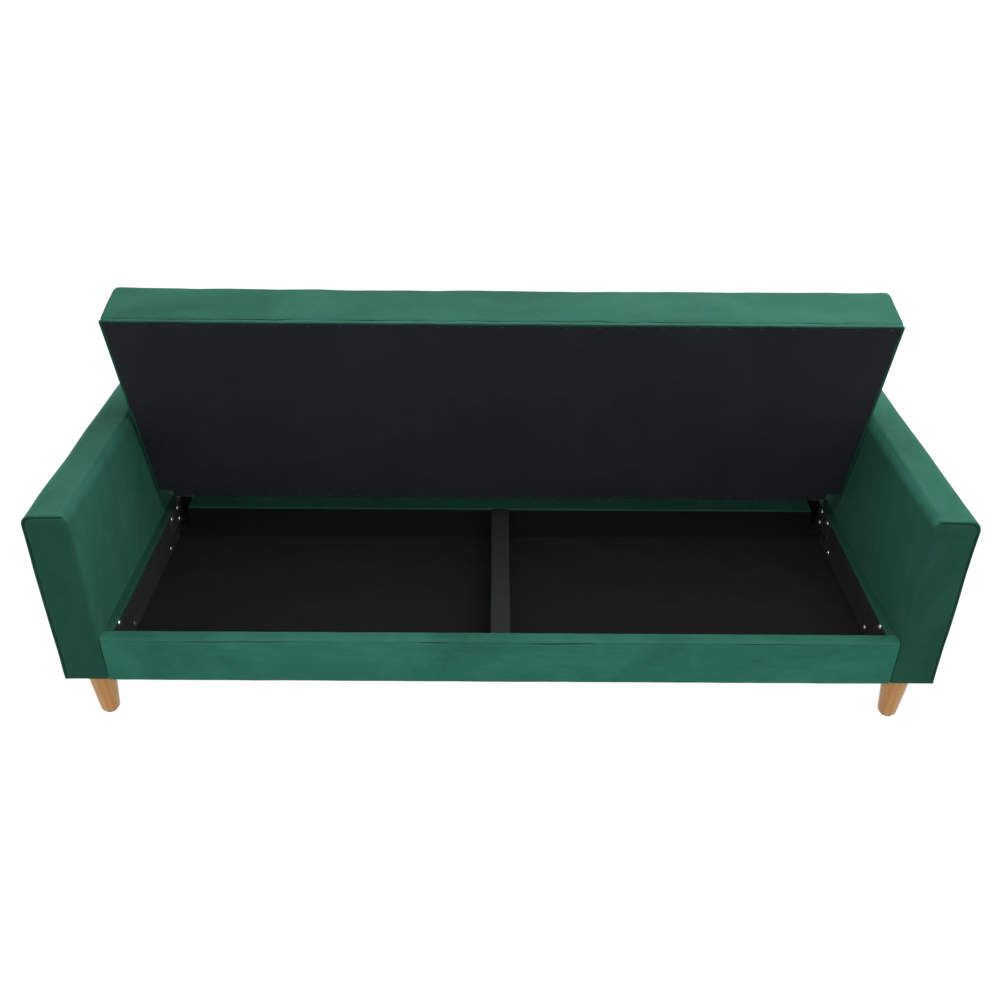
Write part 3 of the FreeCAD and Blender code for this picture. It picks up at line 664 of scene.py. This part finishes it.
def make_arm(side, sign):
    """One padded arm: a velvet body, the front panel's seam with its welt painted dark as the
    seam's shade, and cloth beneath.
    """
    lo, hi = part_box(f"arm_cover_{side}")
    low, high = inset(lo, hi, (1.0 * MM, 0.4 * MM, 0.4 * MM))
    outer, inner = ("X", "x") if sign > 0 else ("x", "X")
    (high if sign > 0 else low).x += ARM_OUTWARD * sign
    front, top = low.y, high.z
    inner_x, outer_x = (low.x, high.x)[::sign]
    fine_x = [outer_x - sign * d * MM for d in (3, 5, 7, 9, 11, 14)]
    fine_y = [front + d * MM for d in (7, 10, 14, 19)]
    fine_z = [top - d * MM for d in (3, 5, 7, 9, 11, 14, 18, 22, 26, 30, 35, 40, 46, 52, 60)]
    shape = sliced(
        soft_box(low, high, 1,
                 mm({outer + "Z": 25, inner + "Z": 22, outer + "z": 3, inner + "z": 3}),
                 (5 * MM, mm({inner: 12, "Z": 4, outer: 3.5, "z": 2})), (9 * MM, mm({"z": 3}))),
        spread(low.x, high.x, 8 * MM, fine_x),
        spread(low.y, high.y, 13 * MM, fine_y),
        spread(low.z, high.z, 13 * MM, fine_z))
    arm = make_piece(f"Arm_Upholstery_{side}", shape, VELVET_ARM, "base",
                     [f"arm_cover_{side}"], 60)
    places, normals = points_of(arm.data)
    places = crown(places, normals, low, high, (2.0 * MM, 1.0 * MM, 2.6 * MM))
    depth_in = places[:, 1] - front
    below = top - places[:, 2]
    seed = 11 if sign > 0 else 12
    soft = uneven(places, (seed, 0.16, 0.7), (seed + 5, 0.05, 0.18))
    places += normals * soft[:, None]
    # The front panel's seam follows its top and outer edges; the top panel stands a little proud.
    aside = np.abs(outer_x - places[:, 0])
    in_turn = (aside < ARM_ROUND) & (below < ARM_ROUND)
    from_edge = np.where(in_turn, ARM_ROUND - np.hypot(ARM_ROUND - aside, ARM_ROUND - below),
                         np.minimum(aside, below))
    on_front = facing(normals, 1, -1, 0.2)
    has_seam = np.clip((np.abs(places[:, 0] - inner_x) - 5 * MM) / (7 * MM), 0, 1)
    wander = uneven(places, (seed + 9, 0.07, 0.5))
    seam = ridge(from_edge - ARM_SEAM - wander, 1.9 * MM) * on_front * has_seam
    lip = ridge(from_edge - 2.0 * MM, 3.4 * MM) * ridge(depth_in, 6 * MM) * has_seam
    places += normals * (lip * 1.3 * MM - seam * 2.6 * MM)[:, None]
    # Shallow creases across the front where the velvet is pulled over the post.
    pulls = 0.85 * MM if sign > 0 else 0.35 * MM
    creases = np.sin(below / (6.5 * MM) + Waves(seed + 3, 0.09)(places) * 1.6)
    band = ridge(below - 36 * MM, 20 * MM) * on_front
    places[:, 1] += creases * band * pulls
    set_points(arm.data, places)

    # The welt lies in the seam: along the top, round the corner, and down the outer edge. It is
    # dark velvet, painted shade in the seam.
    inner_run = abs(outer_x - inner_x) - 11 * MM
    run = [(inner_run + (ARM_ROUND - inner_run) * i / 9, ARM_SEAM) for i in range(10)]
    bend = ARM_ROUND - ARM_SEAM
    run += [(ARM_ROUND - bend * math.sin(t), ARM_ROUND - bend * math.cos(t))
            for t in quarter(6, 1, 7)]
    tall = high.z - low.z - 9 * MM
    run += [(ARM_SEAM, ARM_ROUND + (tall - ARM_ROUND) * i / 30) for i in range(1, 31)]
    welt = [(outer_x - sign * across, front + 0.5 * MM + 0.25 * MM * math.sin(i * 1.7), top - down)
            for i, (across, down) in enumerate(run)]
    make_piece(f"Arm_Welt_Shade_{side}", tube(welt, 0.8 * MM), VELVET_SEAM_SHADE, "base")

    border_x, border_y = 7 * MM, 8 * MM
    cloth = sliced(
        soft_box(Vector((low.x + border_x, low.y + border_y, lo.z + 0.3 * MM)),
                 Vector((high.x - border_x, high.y - border_y, lo.z + 1.2 * MM)), 1,
                 mm({"xz": 0.3, "Xz": 0.3})),
        spread(low.x, high.x, 12 * MM), spread(low.y, high.y, 12 * MM))
    under = make_piece(f"Arm_Base_Cloth_{side}", cloth, DUST_CLOTH, "base")
    places, _ = points_of(under.data)
    places[:, 2] += uneven(places, (seed + 20, 0.06, 0.12))
    places[:, 0] += uneven(places, (seed + 21, 0.05, 0.5))
    set_points(under.data, places)


# ---- storage box

RAIL_ROLL = 7 * MM
RAIL_SEED = 51
NOTCH_FLOOR = 47 * MM
LINE_STEPS = 200


def make_wrap(node, name, seed, corners, material, step=11 * MM, tight=0.2 * MM,
              rise=0, widen=0, roll=0, mitres=()):
    """A cloth wrap over one rail: drawn tight, softly uneven, with an optional rolled front edge.

    roll is how far down its crease is, and each mitre is a point and a slope in the top face."""
    lo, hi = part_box(node)
    low, high = inset(lo, hi, tight)
    high.z += rise
    if widen:
        low.x, high.x = lo.x - widen, hi.x + widen
    longest = max(range(3), key=lambda axis: high[axis] - low[axis])
    steps = [spread(low[a], high[a], step if a == longest else 5 * MM) for a in range(3)]
    if roll:
        steps[2] = spread(low.z, high.z, 8 * MM, [high.z - d * MM for d in (
            1.5, 3, 4.5, 6, 7.5, 9, 10.5, 12, 14, 17, 21)])
    for corner in mitres:
        steps[0] = sorted({*steps[0], *(corner[0] + d * 1.8 * MM for d in range(-15, 15))})
    steps[0] = [p for p in steps[0] if low.x < p < high.x]
    ends = (1.5 * MM, {})
    shape = sliced(soft_box(low, high, longest, mm(corners), ends, ends, 4), *steps)
    piece = make_piece(name, shape, material, "base", [node], 60)
    places, normals = points_of(piece.data)
    soft = uneven(places, (seed, 0.11, 0.2), (seed + 1, 0.035, 0.08))
    places += normals * soft[:, None]
    if roll:
        below = high.z - places[:, 2]
        on_front = facing(normals, 1, -1, 0.2)
        strength = 0.75 + 0.35 * Waves(seed + 3, 0.21)(places)
        line = roll + uneven(places, (seed + 2, 0.13, 1.1))
        crease = ridge(below - line, 1.8 * MM) * on_front * strength
        bead = ridge(below - roll * 0.42, roll * 0.5) * np.clip(-normals[:, 1], 0, 1)
        patches = 0.5 + 0.5 * Waves(seed + 4, 0.09)(places)
        slump = ridge(below - roll * 2.1, 9 * MM) * on_front * patches
        places[:, 1] += crease * 1.2 * MM - bead * 1.7 * MM - slump * 0.8 * MM
    for x, y, slope in mitres:
        off = np.abs((places[:, 0] - x) * slope - (places[:, 1] - y)) / math.hypot(slope, 1)
        near = np.abs(places[:, 0] - x) < 24 * MM
        places[:, 2] -= ridge(off, 1.6 * MM) * facing(normals, 2, 1) * near * 1.1 * MM
    set_points(piece.data, places)
    return piece


def line_along(start, length):
    """Evenly spaced points from a place along x, as an array."""
    return np.array([(start[0] + length * i / LINE_STEPS, *start[1:])
                     for i in range(LINE_STEPS + 1)])


def make_rail_crease_shade():
    """A dark tube as painted shade in the tuck under the front rail's rolled top edge, deeper in
    some places.
    """
    lo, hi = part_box("front_rail_cover")
    places = line_along((lo.x + 4 * MM, lo.y, hi.z - RAIL_ROLL), hi.x - lo.x - 8 * MM)
    drop = uneven(places, (RAIL_SEED + 2, 0.13, 1.1))
    depth = np.clip(Waves(RAIL_SEED + 3, 0.21)(places), -1.2, 1.2)
    line = [(x, lo.y + (0.8 - 0.55 * d) * MM, z - w)
            for (x, _, z), d, w in zip(places, depth, drop)]
    make_piece("Front_Rail_Crease_Shade", tube(line, 0.75 * MM, 6), VELVET_SEAM_SHADE, "base")


def make_box_lining(side, sign):
    """The sewn lining of one half of the box: floor, four walls, and a mouth for the hinge."""
    lo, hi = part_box(f"storage_lining_{side}")
    mouth_x = abs(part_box("rear_rail_cover")[1].x)
    mouth_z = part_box("rear_rail")[0].z + NOTCH_FLOOR
    low, high = inset(lo, hi, 0.2 * MM)
    fold = 8 * MM
    open_end = (fold, {"Z": 0})
    shape = sliced(
        soft_box(low, high, 1, {"xz": fold, "Xz": fold}, open_end, open_end),
        spread(low.x, high.x, 16 * MM, [sign * mouth_x]), spread(low.y, high.y, 14 * MM),
        spread(low.z, high.z, 9 * MM, [mouth_z]))
    gone = []
    for face in shape.faces:
        middle = face.calc_center_median()
        lid = middle.z > high.z - 1e-5 and abs(face.normal.z) > 0.5
        mouth = (abs(middle.x) > mouth_x and middle.z > mouth_z and middle.y > high.y - fold
                 and abs(face.normal.x) < 0.7)
        if lid or mouth:
            gone.append(face)
    bmesh.ops.delete(shape, geom=gone, context="FACES")
    bmesh.ops.remove_doubles(shape, verts=shape.verts[:], dist=0.1 * MM)
    mesh = mesh_from(outward(shape), "lining")
    places, normals = points_of(mesh)
    way_out = np.sign(((places - np.array((low + high) / 2)) * normals).sum(axis=1).mean())
    seed = 31 if sign > 0 else 41
    floor = facing(normals * way_out, 2, -1, 0.6)
    slack = uneven(places, (seed, 0.20, 2.4), (seed + 1, 0.07, 0.7))
    inward = np.abs(slack) * (0.35 + 0.65 * floor) + 0.1 * MM
    places -= normals * way_out * inward[:, None]
    set_points(mesh, places)
    solid = bmesh.new()
    solid.from_mesh(mesh)
    bpy.data.meshes.remove(mesh)
    if way_out > 0:
        bmesh.ops.reverse_faces(solid, faces=solid.faces[:])
    bmesh.ops.solidify(solid, geom=solid.faces[:], thickness=-0.7 * MM)
    make_piece(f"Storage_Lining_{side}", solid, LINING, "base",
               [f"storage_lining_{side}"], 50)


def make_notch_lining(side, sign):
    """Black cloth over the notch in the rear rail, where the hinge plate passes, and a black sheet
    across its rear as painted shade.
    """
    inner = abs(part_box("rear_rail_cover")[1].x) + 0.5 * MM
    outer = abs(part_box(f"side_rail_cover_{side}")[0 if sign > 0 else 1].x) - 0.45 * MM
    y0, y1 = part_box("rear_rail_cover")[0].y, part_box("rear_rail_cover")[1].y
    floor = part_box("rear_rail")[0].z + NOTCH_FLOOR - 0.5 * MM
    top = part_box("rear_rail")[1].z - 1 * MM
    path = [(inner, top - (top - floor) * i / 6) for i in range(7)]
    path += [(inner + (outer - inner) * i / 5, floor) for i in range(1, 6)]
    path += [(outer, floor + (top - floor) * i / 6) for i in range(1, 7)]
    trough = bmesh.new()
    web(trough, [[trough.verts.new(
        (sign * (x + 0.25 * MM * math.sin(j * 1.3 + k) * (x < outer)), y0 + (y1 - y0) * j / 7,
         z + 0.3 * MM * math.sin(j * 2.1 + k * 0.7)))
        for k, (x, z) in enumerate(path)] for j in range(8)])
    make_piece(f"Notch_Lining_{side}", thickened(trough, 0.35 * MM), LINING, "base",
               smooth=50)
    # Painted shade: a black sheet closes the notch's rear, where the floor would show through.
    shade_flap = bmesh.new()
    web(shade_flap, [[shade_flap.verts.new(
        (sign * (inner + (outer - inner) * i / 6), y1 - (2.2 + 0.5 * math.sin(i * 1.9 + j)) * MM,
         floor + (top - floor) * j / 8))
        for i in range(7)] for j in range(9)])
    make_piece(f"Notch_Shade_Flap_{side}", thickened(shade_flap, 0.5 * MM), LINING, "base",
               smooth=50)


def make_storage_box():
    front_lo, front_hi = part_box("front_rail_cover")
    wall = abs(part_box("side_rail_cover_right")[0].x)
    slope = (front_hi.y - front_lo.y) / (front_hi.x - wall)
    mitres = [(sign * (wall + front_hi.x) / 2, (front_lo.y + front_hi.y) / 2, -sign * slope)
              for _, sign in SIDES]
    make_wrap("front_rail_cover", "Front_Rail_Wrap", RAIL_SEED,
              {"yZ": 4.5, "YZ": 2.5, "yz": 1.5, "Yz": 2}, VELVET_RAIL_PAINTED_LIGHT, tight=-0.2 * MM,
              widen=0.4 * MM, roll=RAIL_ROLL, mitres=mitres)
    make_wrap("rear_rail_cover", "Rear_Rail_Wrap", 56, {"yZ": 3, "YZ": 2.5, "yz": 2, "Yz": 2},
              VELVET_REAR, rise=1.1 * MM)
    make_rail_crease_shade()
    for side, sign in SIDES:
        make_wrap(f"side_rail_cover_{side}", f"Side_Rail_Wrap_{side}", 61 + sign,
                  {"xZ": 3, "XZ": 3, "xz": 2, "Xz": 2}, VELVET_SIDE_PAINTED_SHADE)
        make_box_lining(side, sign)
        make_notch_lining(side, sign)
    divider = make_wrap("divider_cover", "Divider_Sleeve", 71, {"xZ": 3.5, "XZ": 3.5},
                        SLEEVE_CLOTH, step=14 * MM, tight=-1.0 * MM)
    # The sleeve's sides draw in a little between its ends.
    places, _ = points_of(divider.data)
    middle_y = (places[:, 1].min() + places[:, 1].max()) / 2
    reach = (places[:, 1].max() - places[:, 1].min()) / 2
    waist = 1 - ((places[:, 1] - middle_y) / reach) ** 2
    places[:, 0] -= np.sign(places[:, 0]) * waist * (np.abs(places[:, 0]) > 19 * MM) * 0.5 * MM
    set_points(divider.data, places)


# ---- cushions

TUCK_HEIGHT = 11 * MM
SEAT_TUCK = ((83, 0.085, 1.3), (84, 0.03, 0.4))


def closed_box(node):
    """A seat node's box with the seat closed."""
    back = LIFT_SEAT.inverted()
    corners = np.array([back @ v.co for v in frame["nodes"][node].data.vertices])
    return Vector(corners.min(0)), Vector(corners.max(0))


def keep_inside(places, lo, hi):
    """Eases points that went past a box back to just inside it."""
    for axis in range(3):
        for limit, sign in ((lo[axis], -1), (hi[axis], 1)):
            over = (places[:, axis] - limit) * sign
            places[:, axis] -= np.where(over > 0, over * 0.92, 0) * sign
    return places


def swollen_pad(low, high, corners, ends, hold, inside):
    """An evenly meshed box with rounded edges, swollen as cloth: mesh, places and normals."""
    blank = sliced(
        soft_box(low, high, 0, mm(corners), ends, ends, 5),
        spread(low.x + 16 * MM, high.x - 16 * MM, 11 * MM),
        spread(low.y + 20 * MM, high.y - 20 * MM, 11 * MM),
        [*(low.z + d * MM for d in (4, 8, 12, 17)),
         *spread(low.z + 22 * MM, high.z - 20 * MM, 10 * MM)])
    mesh = inflate(blank, hold)
    places, normals = points_of(mesh)
    return mesh, keep_inside(places, inside[0], inside[1] + Vector((0, 0, SWELLING))), normals


def tucked(places, normals, bottom, soft, wander):
    """Softens a pad, and finds the line round its foot where the velvet is pulled under."""
    height = places[:, 2] - bottom
    grip = np.clip((height - 4 * MM) / (40 * MM), 0, 1)
    places += normals * (uneven(places, *soft) * grip)[:, None]
    upright = np.clip(1 - np.abs(normals[:, 2]) * 1.3, 0, 1)
    tuck = ridge(height - TUCK_HEIGHT - uneven(places, *wander), 2.8 * MM) * upright
    return height, upright, tuck


def settle(mesh, places, bottom):
    """Writes a pad's points, none of them below its frame's underside."""
    places[:, 2] = np.maximum(places[:, 2], bottom + 0.1 * MM)
    set_points(mesh, places)


def make_seat():
    """The seat pad: foam under tight velvet, turned under and stapled, slotted for hinges."""
    lo, hi = closed_box("seat_cover")
    low = lo + Vector((-1.2 * MM, -0.6 * MM, 0.1 * MM))
    high = hi - Vector((-1.2 * MM, 0.6 * MM, -1.5 * MM))
    leaf_x = abs(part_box("seat_hinge_leaf_right")[0].x)
    slot_y = closed_box("seat_rear_rail")[1].y
    slot_top = SEAT_PIVOT.z + 13.5 * MM

    def hold(places):
        """Held at the frame: firmly below the slats, and round the hinge slots."""
        firm = np.clip((slot_top - 6 * MM - places[:, 2]) / (30 * MM), 0, 1)
        rear = ((np.abs(np.abs(places[:, 0]) - leaf_x - 3 * MM) < 26 * MM)
                & (places[:, 1] > slot_y - 12 * MM) & (places[:, 2] < slot_top + 8 * MM))
        return np.maximum(firm, rear)

    mesh, places, normals = swollen_pad(
        low, high, {"YZ": 28, "yZ": 10, "yz": 1.5, "Yz": 2},
        (11 * MM, mm({"Z": 19, "y": 4, "Y": 8, "z": 1.0})), hold, (low, high))
    height, upright, tuck = tucked(places, normals, lo.z, ((81, 0.19, 0.7), (82, 0.06, 0.25)),
                                   SEAT_TUCK)
    heel = ridge(height - 6 * MM, 4 * MM) * upright * (0.5 + 0.5 * Waves(85, 0.06)(places))
    places += normals * (heel * 0.8 * MM - tuck * 1.9 * MM)[:, None]
    # Short gathers fan in from the staples.
    gathers = np.sin(places[:, 0] / (9 * MM) + 2 * Waves(86, 0.12)(places))
    places += normals * (gathers * ridge(height - 4 * MM, 9 * MM) * upright * 0.22 * MM)[:, None]
    settle(mesh, places, lo.z)
    mesh = with_slots(mesh, leaf_x, slot_y, slot_top, hi, lo)
    mesh.transform(LIFT_SEAT)
    cushion = make_piece("Cushion_seat", mesh, VELVET, "seat",
                         ["seat_cover", "seat_foam"], 80)

    # A dark tube as painted shade in the fold of the tuck along the front edge.
    front = line_along((low.x + 9 * MM, low.y, lo.z + TUCK_HEIGHT), high.x - low.x - 18 * MM)
    rise = uneven(front, *SEAT_TUCK)
    depth = np.clip(Waves(87, 0.17)(front), -1, 1)
    line = [(x, y + (1.5 - 0.5 * d) * MM, z + w) for (x, y, z), d, w in zip(front, depth, rise)]
    fold = tube(line, 0.8 * MM, 6)
    fold.transform(LIFT_SEAT)
    make_piece("Cushion_Fold_Shade_seat", fold, VELVET_SEAM_SHADE, "seat")
    make_dust_cover(lo, hi, leaf_x, slot_y)


def with_slots(mesh, leaf_x, slot_y, slot_top, hi, lo):
    """Cuts the two hinge slots out of the seat's rear edge."""
    blank = linked("blank", mesh)
    start = Vector((leaf_x - 9 * MM, slot_y - 1 * MM, lo.z - 5 * MM))
    end = Vector((leaf_x + 15 * MM, hi.y + 5 * MM, slot_top))
    cutters = []
    for sign in (-1, 1):
        cutter = bmesh.new()
        bmesh.ops.create_cube(cutter, size=1.0)
        for vert in cutter.verts:
            spot = [end[a] if vert.co[a] > 0 else start[a] for a in range(3)]
            vert.co = Vector((sign * spot[0], *spot[1:]))
        tool = linked("cutter", mesh_from(outward(cutter), "cutter"))
        cutters.append(tool)
        boolean = blank.modifiers.new("slot", "BOOLEAN")
        boolean.operation = "DIFFERENCE"
        boolean.object = tool
        boolean.solver = "EXACT"
    result = bpy.data.meshes.new_from_object(evaluated(blank))
    for item in (*cutters, blank):
        bpy.data.objects.remove(item)
    return result


def make_dust_cover(lo, hi, leaf_x, slot_y):
    """The black cloth stapled under the seat, a little slack between the rails."""
    x0, x1 = lo.x + 6 * MM, hi.x - 6 * MM
    y0, y1 = lo.y + 3.0 * MM, hi.y + 1.2 * MM
    columns, rows = 150, 46
    fringe, billow, ripple = Waves(91, 0.05), Waves(92, 0.23), Waves(93, 0.06)
    shape = bmesh.new()
    grid = []
    for j in range(rows + 1):
        line = []
        for i in range(columns + 1):
            x = x0 + (x1 - x0) * i / columns
            y = y0 + (y1 - y0) * j / rows
            spot = np.array([[x, y, 0.0]])
            border = min(i, columns - i, j, rows - j)
            if border == 0:
                shift = float(fringe(spot)[0]) * 0.9 * MM
                x += shift if i in (0, columns) else 0
                y += shift if j in (0, rows) else 0
            drop = (0.5 + 0.5 * float(billow(spot)[0])) * 0.9 * MM * min(1.0, border / 4)
            drop += float(ripple(spot)[0]) * 0.15 * MM
            line.append(shape.verts.new((x, y, lo.z - 0.5 * MM - drop * 0.6)))
        grid.append(line)

    def clear_of_slot(corners):
        return not (corners[3].co.y > slot_y - 2 * MM
                    and max(abs(c.co.x) for c in corners) > leaf_x - 8 * MM
                    and min(abs(c.co.x) for c in corners) < leaf_x + 14 * MM)

    web(shape, grid, keep=clear_of_slot)
    bmesh.ops.delete(shape, geom=[v for v in shape.verts if not v.link_faces], context="VERTS")
    thickened(shape, 0.4 * MM).transform(LIFT_SEAT)
    cover = make_piece("Dust_Cover_seat", shape, DUST_CLOTH, "seat",
                       ["seat_dust_cover"], 60)

    spots = [(x0 + 22 * MM + (x1 - x0 - 44 * MM) * i / 24, y0 + 5 * MM, 0) for i in range(25)]
    spots += [(x0 + 62 * MM + (x1 - x0 - 124 * MM) * i / 22, y1 - 7 * MM, 0) for i in range(23)]
    for x in (x0 + 5 * MM, x1 - 5 * MM):
        spots += [(x, y0 + 30 * MM + (y1 - y0 - 60 * MM) * i / 7, 1) for i in range(8)]
    rng = np.random.RandomState(94)
    dip = Vector((0, 0, 0.9 * MM))
    staples = []
    for x, y, upright in spots:
        tilt = rng.uniform(-0.25, 0.25) + (math.pi / 2 if upright else 0)
        way = Vector((math.cos(tilt), math.sin(tilt), 0)) * 4.5 * MM
        middle = Vector((x, y, lo.z - 1.0 * MM))
        staples.append(tube([middle - way + dip, middle - way * 0.92, middle + way * 0.92,
                             middle + way + dip], 0.45 * MM, 5))
    whole = joined(staples)
    whole.transform(LIFT_SEAT)
    make_piece("Staples_seat", whole, NODE_MATERIALS["black_steel"], "seat")


def make_back():
    """The back pad, lying flat behind the seat, and the velvet panel that closes its rear."""
    lo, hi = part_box("back_cover")
    low = lo + Vector((0.8 * MM, 0.8 * MM, 0.1 * MM))
    high = hi - Vector((0.8 * MM, 0.8 * MM, 1.0 * MM))
    frame_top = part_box("back_slats")[1].z

    def hold(places):
        return np.clip((frame_top - places[:, 2]) / (26 * MM), 0, 1)

    mesh, places, normals = swollen_pad(
        low, high, {"yZ": 22, "YZ": 15, "yz": 3, "Yz": 1.5},
        (15 * MM, mm({"Z": 18, "y": 8, "Y": 5, "z": 1.2})), hold, (lo, hi))
    _, _, tuck = tucked(places, normals, lo.z, ((101, 0.19, 0.9), (102, 0.06, 0.25)),
                        [(103, 0.085, 1.2)])
    places += normals * (-tuck * 1.3 * MM)[:, None]
    settle(mesh, places, lo.z)
    cushion = make_piece("Back_Cushion", mesh, VELVET, "back",
                         ["back_cover", "back_foam"], 80)

    margin = 14 * MM
    x0, x1 = lo.x + margin, hi.x - margin
    y0, y1 = lo.y + margin, hi.y - margin
    ends = (0.4 * MM, {"Z": 0})
    panel = sliced(
        soft_box(Vector((x0, y0, lo.z - 1.4 * MM)), Vector((x1, y1, lo.z - 0.2 * MM)), 0,
                 mm({"yz": 0.4, "Yz": 0.4}), ends, ends, 2),
        spread(x0, x1, 14 * MM), spread(y0, y1, 12 * MM))
    # The rear panel takes the rails' copy, which is painted lighter: painted light.
    rear = make_piece("Back_Rear_Panel", panel, VELVET_RAIL_PAINTED_LIGHT, "back",
                      ["back_rear_panel"], 60)
    places, _ = points_of(rear.data)
    places[:, 2] += uneven(places, (105, 0.12, 0.15))
    set_points(rear.data, places)


# ---- hardware and legs

def make_bolts(node, name):
    """Button-head bolts: a washer, a domed head and a round socket, on the box's inner faces."""
    heads = []
    for lo, hi in solids_of(node):
        sign = 1 if lo.x > 0 else -1
        face = min(abs(lo.x), abs(hi.x)) + 2.5 * MM
        length = abs(hi.x - lo.x)
        centre = Vector((sign * face, (lo.y + hi.y) / 2, (lo.z + hi.z) / 2))
        turn = Matrix.Rotation(-sign * math.pi / 2, 4, "Y")
        dome = [(6.6 * MM * math.cos(t), 0.5 * MM + 3.0 * MM * math.sin(t))
                for t in quarter(7)]
        profile = [(0, -0.6 * MM), (8.0 * MM, -0.6 * MM), (8.0 * MM, 0.35 * MM),
                   (7.7 * MM, 0.5 * MM), (6.7 * MM, 0.5 * MM), *dome,
                   (1.75 * MM, 3.4 * MM), (1.65 * MM, 2.0 * MM), (0, 1.8 * MM)]
        heads.append(lathe(profile, centre, turn, 24))
        shank = [(0, -(length - 2.5 * MM)), (2.4 * MM, -(length - 3 * MM)),
                 (3 * MM, -(length - 5 * MM)), (3 * MM, -0.5 * MM), (0, -0.5 * MM)]
        heads.append(lathe(shank, centre, turn, 16))
    make_piece(name, joined(heads), ZINC, "base", [node], 40)


def make_legs():
    """Four turned legs: straight taper, rolled foot edge, small relief under the plate."""
    for row in ("front", "rear"):
        for side, _ in SIDES:
            node = f"leg_{row}_{side}"
            lo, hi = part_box(node)
            centre = Vector(((lo.x + hi.x) / 2, (lo.y + hi.y) / 2, 0))
            top_r = (hi.x - lo.x) / 2
            foot_r, foot = 21 * MM, 8 * MM
            profile = [(0, lo.z), (foot_r - foot, lo.z)]
            profile += [(foot_r - foot + foot * math.sin(t), lo.z + foot * (1 - math.cos(t)))
                        for t in quarter(8, 1)]
            for i in range(15):
                part = i / 14
                z = lo.z + foot + (hi.z - 1.5 * MM - lo.z - foot) * part
                bow = 0.4 * MM * math.sin(math.pi * part)
                profile.append((foot_r + (top_r - foot_r) * part + bow, z))
            profile += [(top_r - 0.4 * MM, hi.z - 0.6 * MM), (top_r - 1.4 * MM, hi.z), (0, hi.z)]
            shape = lathe(profile, centre, Matrix.Identity(4), 56)
            make_piece(f"Leg_{row}_{side}", shape, BEECH, "base", [node], 50)


# ---- build

for arm_side, arm_sign in SIDES:
    make_arm(arm_side, arm_sign)
make_storage_box()
make_seat()
make_back()
make_bolts("hinge_bolts", "Hinge_Bolts")
make_bolts("side_bolts", "Side_Bolts")
make_legs()

slots = {row["node"]: row["material_slot"] for row in frame["record"]["subparts"]}
for node, item in frame["nodes"].items():
    for place in item.material_slots:
        place.material = NODE_MATERIALS[slots[node]]


# ---- stage, light and camera

def paper_white():
    """The pale floor: matt paper with a faint tooth, lit through like a light table."""
    s = Shader("paper_floor")
    tooth = s.noise(300, 4, 0.6)
    s.set(Base_Color=s.cloudy(tooth, (0.10, 0.10, 0.10), (0.12, 0.12, 0.12)),
          Roughness=s.span(tooth, 0.85, 0.95), Specular_IOR_Level=0.0,
          Emission_Color=(1, 1, 1, 1), Emission_Strength=0.97)
    s.bump((tooth, 0.1, 0.0002))
    return s.material


# The floor curves up into a closed studio dome, so every view has a pale background.
rim = [(9 + 4 * math.sin(t), 4 - 4 * math.cos(t)) for t in quarter(10, 0, 11)]
bowl = bmesh.new()
turns = circle(64)
rings = [[bowl.verts.new((r * math.cos(t), r * math.sin(t), z)) for t in turns]
         for r, z in [(3, 0), (6, 0), *rim, (13, 10), (9, 14), (4, 15.5)]]
for inside, outside in zip(rings, rings[1:]):
    for i in range(len(turns)):
        j = (i + 1) % len(turns)
        bowl.faces.new((inside[i], outside[i], outside[j], inside[j]))
bowl.faces.new(rings[0])
bowl.faces.new(rings[-1])
floor_mesh = mesh_from(bowl, "Floor")
floor_mesh.shade_smooth()
floor_mesh.materials.append(paper_white())
floor = linked("Floor", floor_mesh)
floor.location.z = -0.5 * MM
floor.visible_diffuse = False
floor.visible_shadow = False


# Even white light from above that falls off below the horizon.
world = bpy.data.worlds.new("studio")
world.use_nodes = True
nodes, links = world.node_tree.nodes, world.node_tree.links
place, split, level = (nodes.new("ShaderNode" + kind)
                       for kind in ("TexCoord", "SeparateXYZ", "MapRange"))
level.interpolation_type = "SMOOTHSTEP"
for end, value in (("From Min", -0.25), ("From Max", 0.65), ("To Min", 0.24), ("To Max", 0.56)):
    level.inputs[end].default_value = value
links.new(place.outputs["Generated"], split.inputs["Vector"])
links.new(split.outputs["Z"], level.inputs["Value"])
links.new(level.outputs["Result"], nodes["Background"].inputs["Strength"])
nodes["Background"].inputs["Color"].default_value = (1, 1, 1, 1)
scene.world = world


def area_light(name, place, target, size, power):
    """A soft rectangular light aimed at a point, with its power in watts."""
    data = bpy.data.lights.new(name, "AREA")
    data.shape = "RECTANGLE"
    data.size, data.size_y = size
    data.energy = power
    lamp = linked(name, data)
    lamp.location = place
    lamp.rotation_euler = (Vector(target) - Vector(place)).to_track_quat("-Z", "Y").to_euler()


area_light("Overhead", (0.75, 0.1, 3.2), (0.1, 0.0, 0.3), (3.4, 2.2), 104)
area_light("Front", (0.4, -3.6, 2.5), (0, 0, 0.3), (2.4, 1.6), 20)

yaw, pitch, roll = (math.radians(a) for a in (0.35, 32.268, 0.553))
forward = Vector((math.sin(yaw) * math.cos(pitch), math.cos(yaw) * math.cos(pitch),
                  -math.sin(pitch)))
right = Vector((math.cos(yaw), -math.sin(yaw), 0))
up = right.cross(forward)
right_r = math.cos(roll) * right + math.sin(roll) * up
up_r = -math.sin(roll) * right + math.cos(roll) * up
view = bpy.data.cameras.new("Camera")
view.sensor_width = 36
view.lens = 36.571
camera = linked("Camera", view)
camera.matrix_world = Matrix.Translation((-0.0142, -2.1931, 1.6768)) @ Matrix(
    (right_r, up_r, -forward)).transposed().to_4x4()
scene.camera = camera
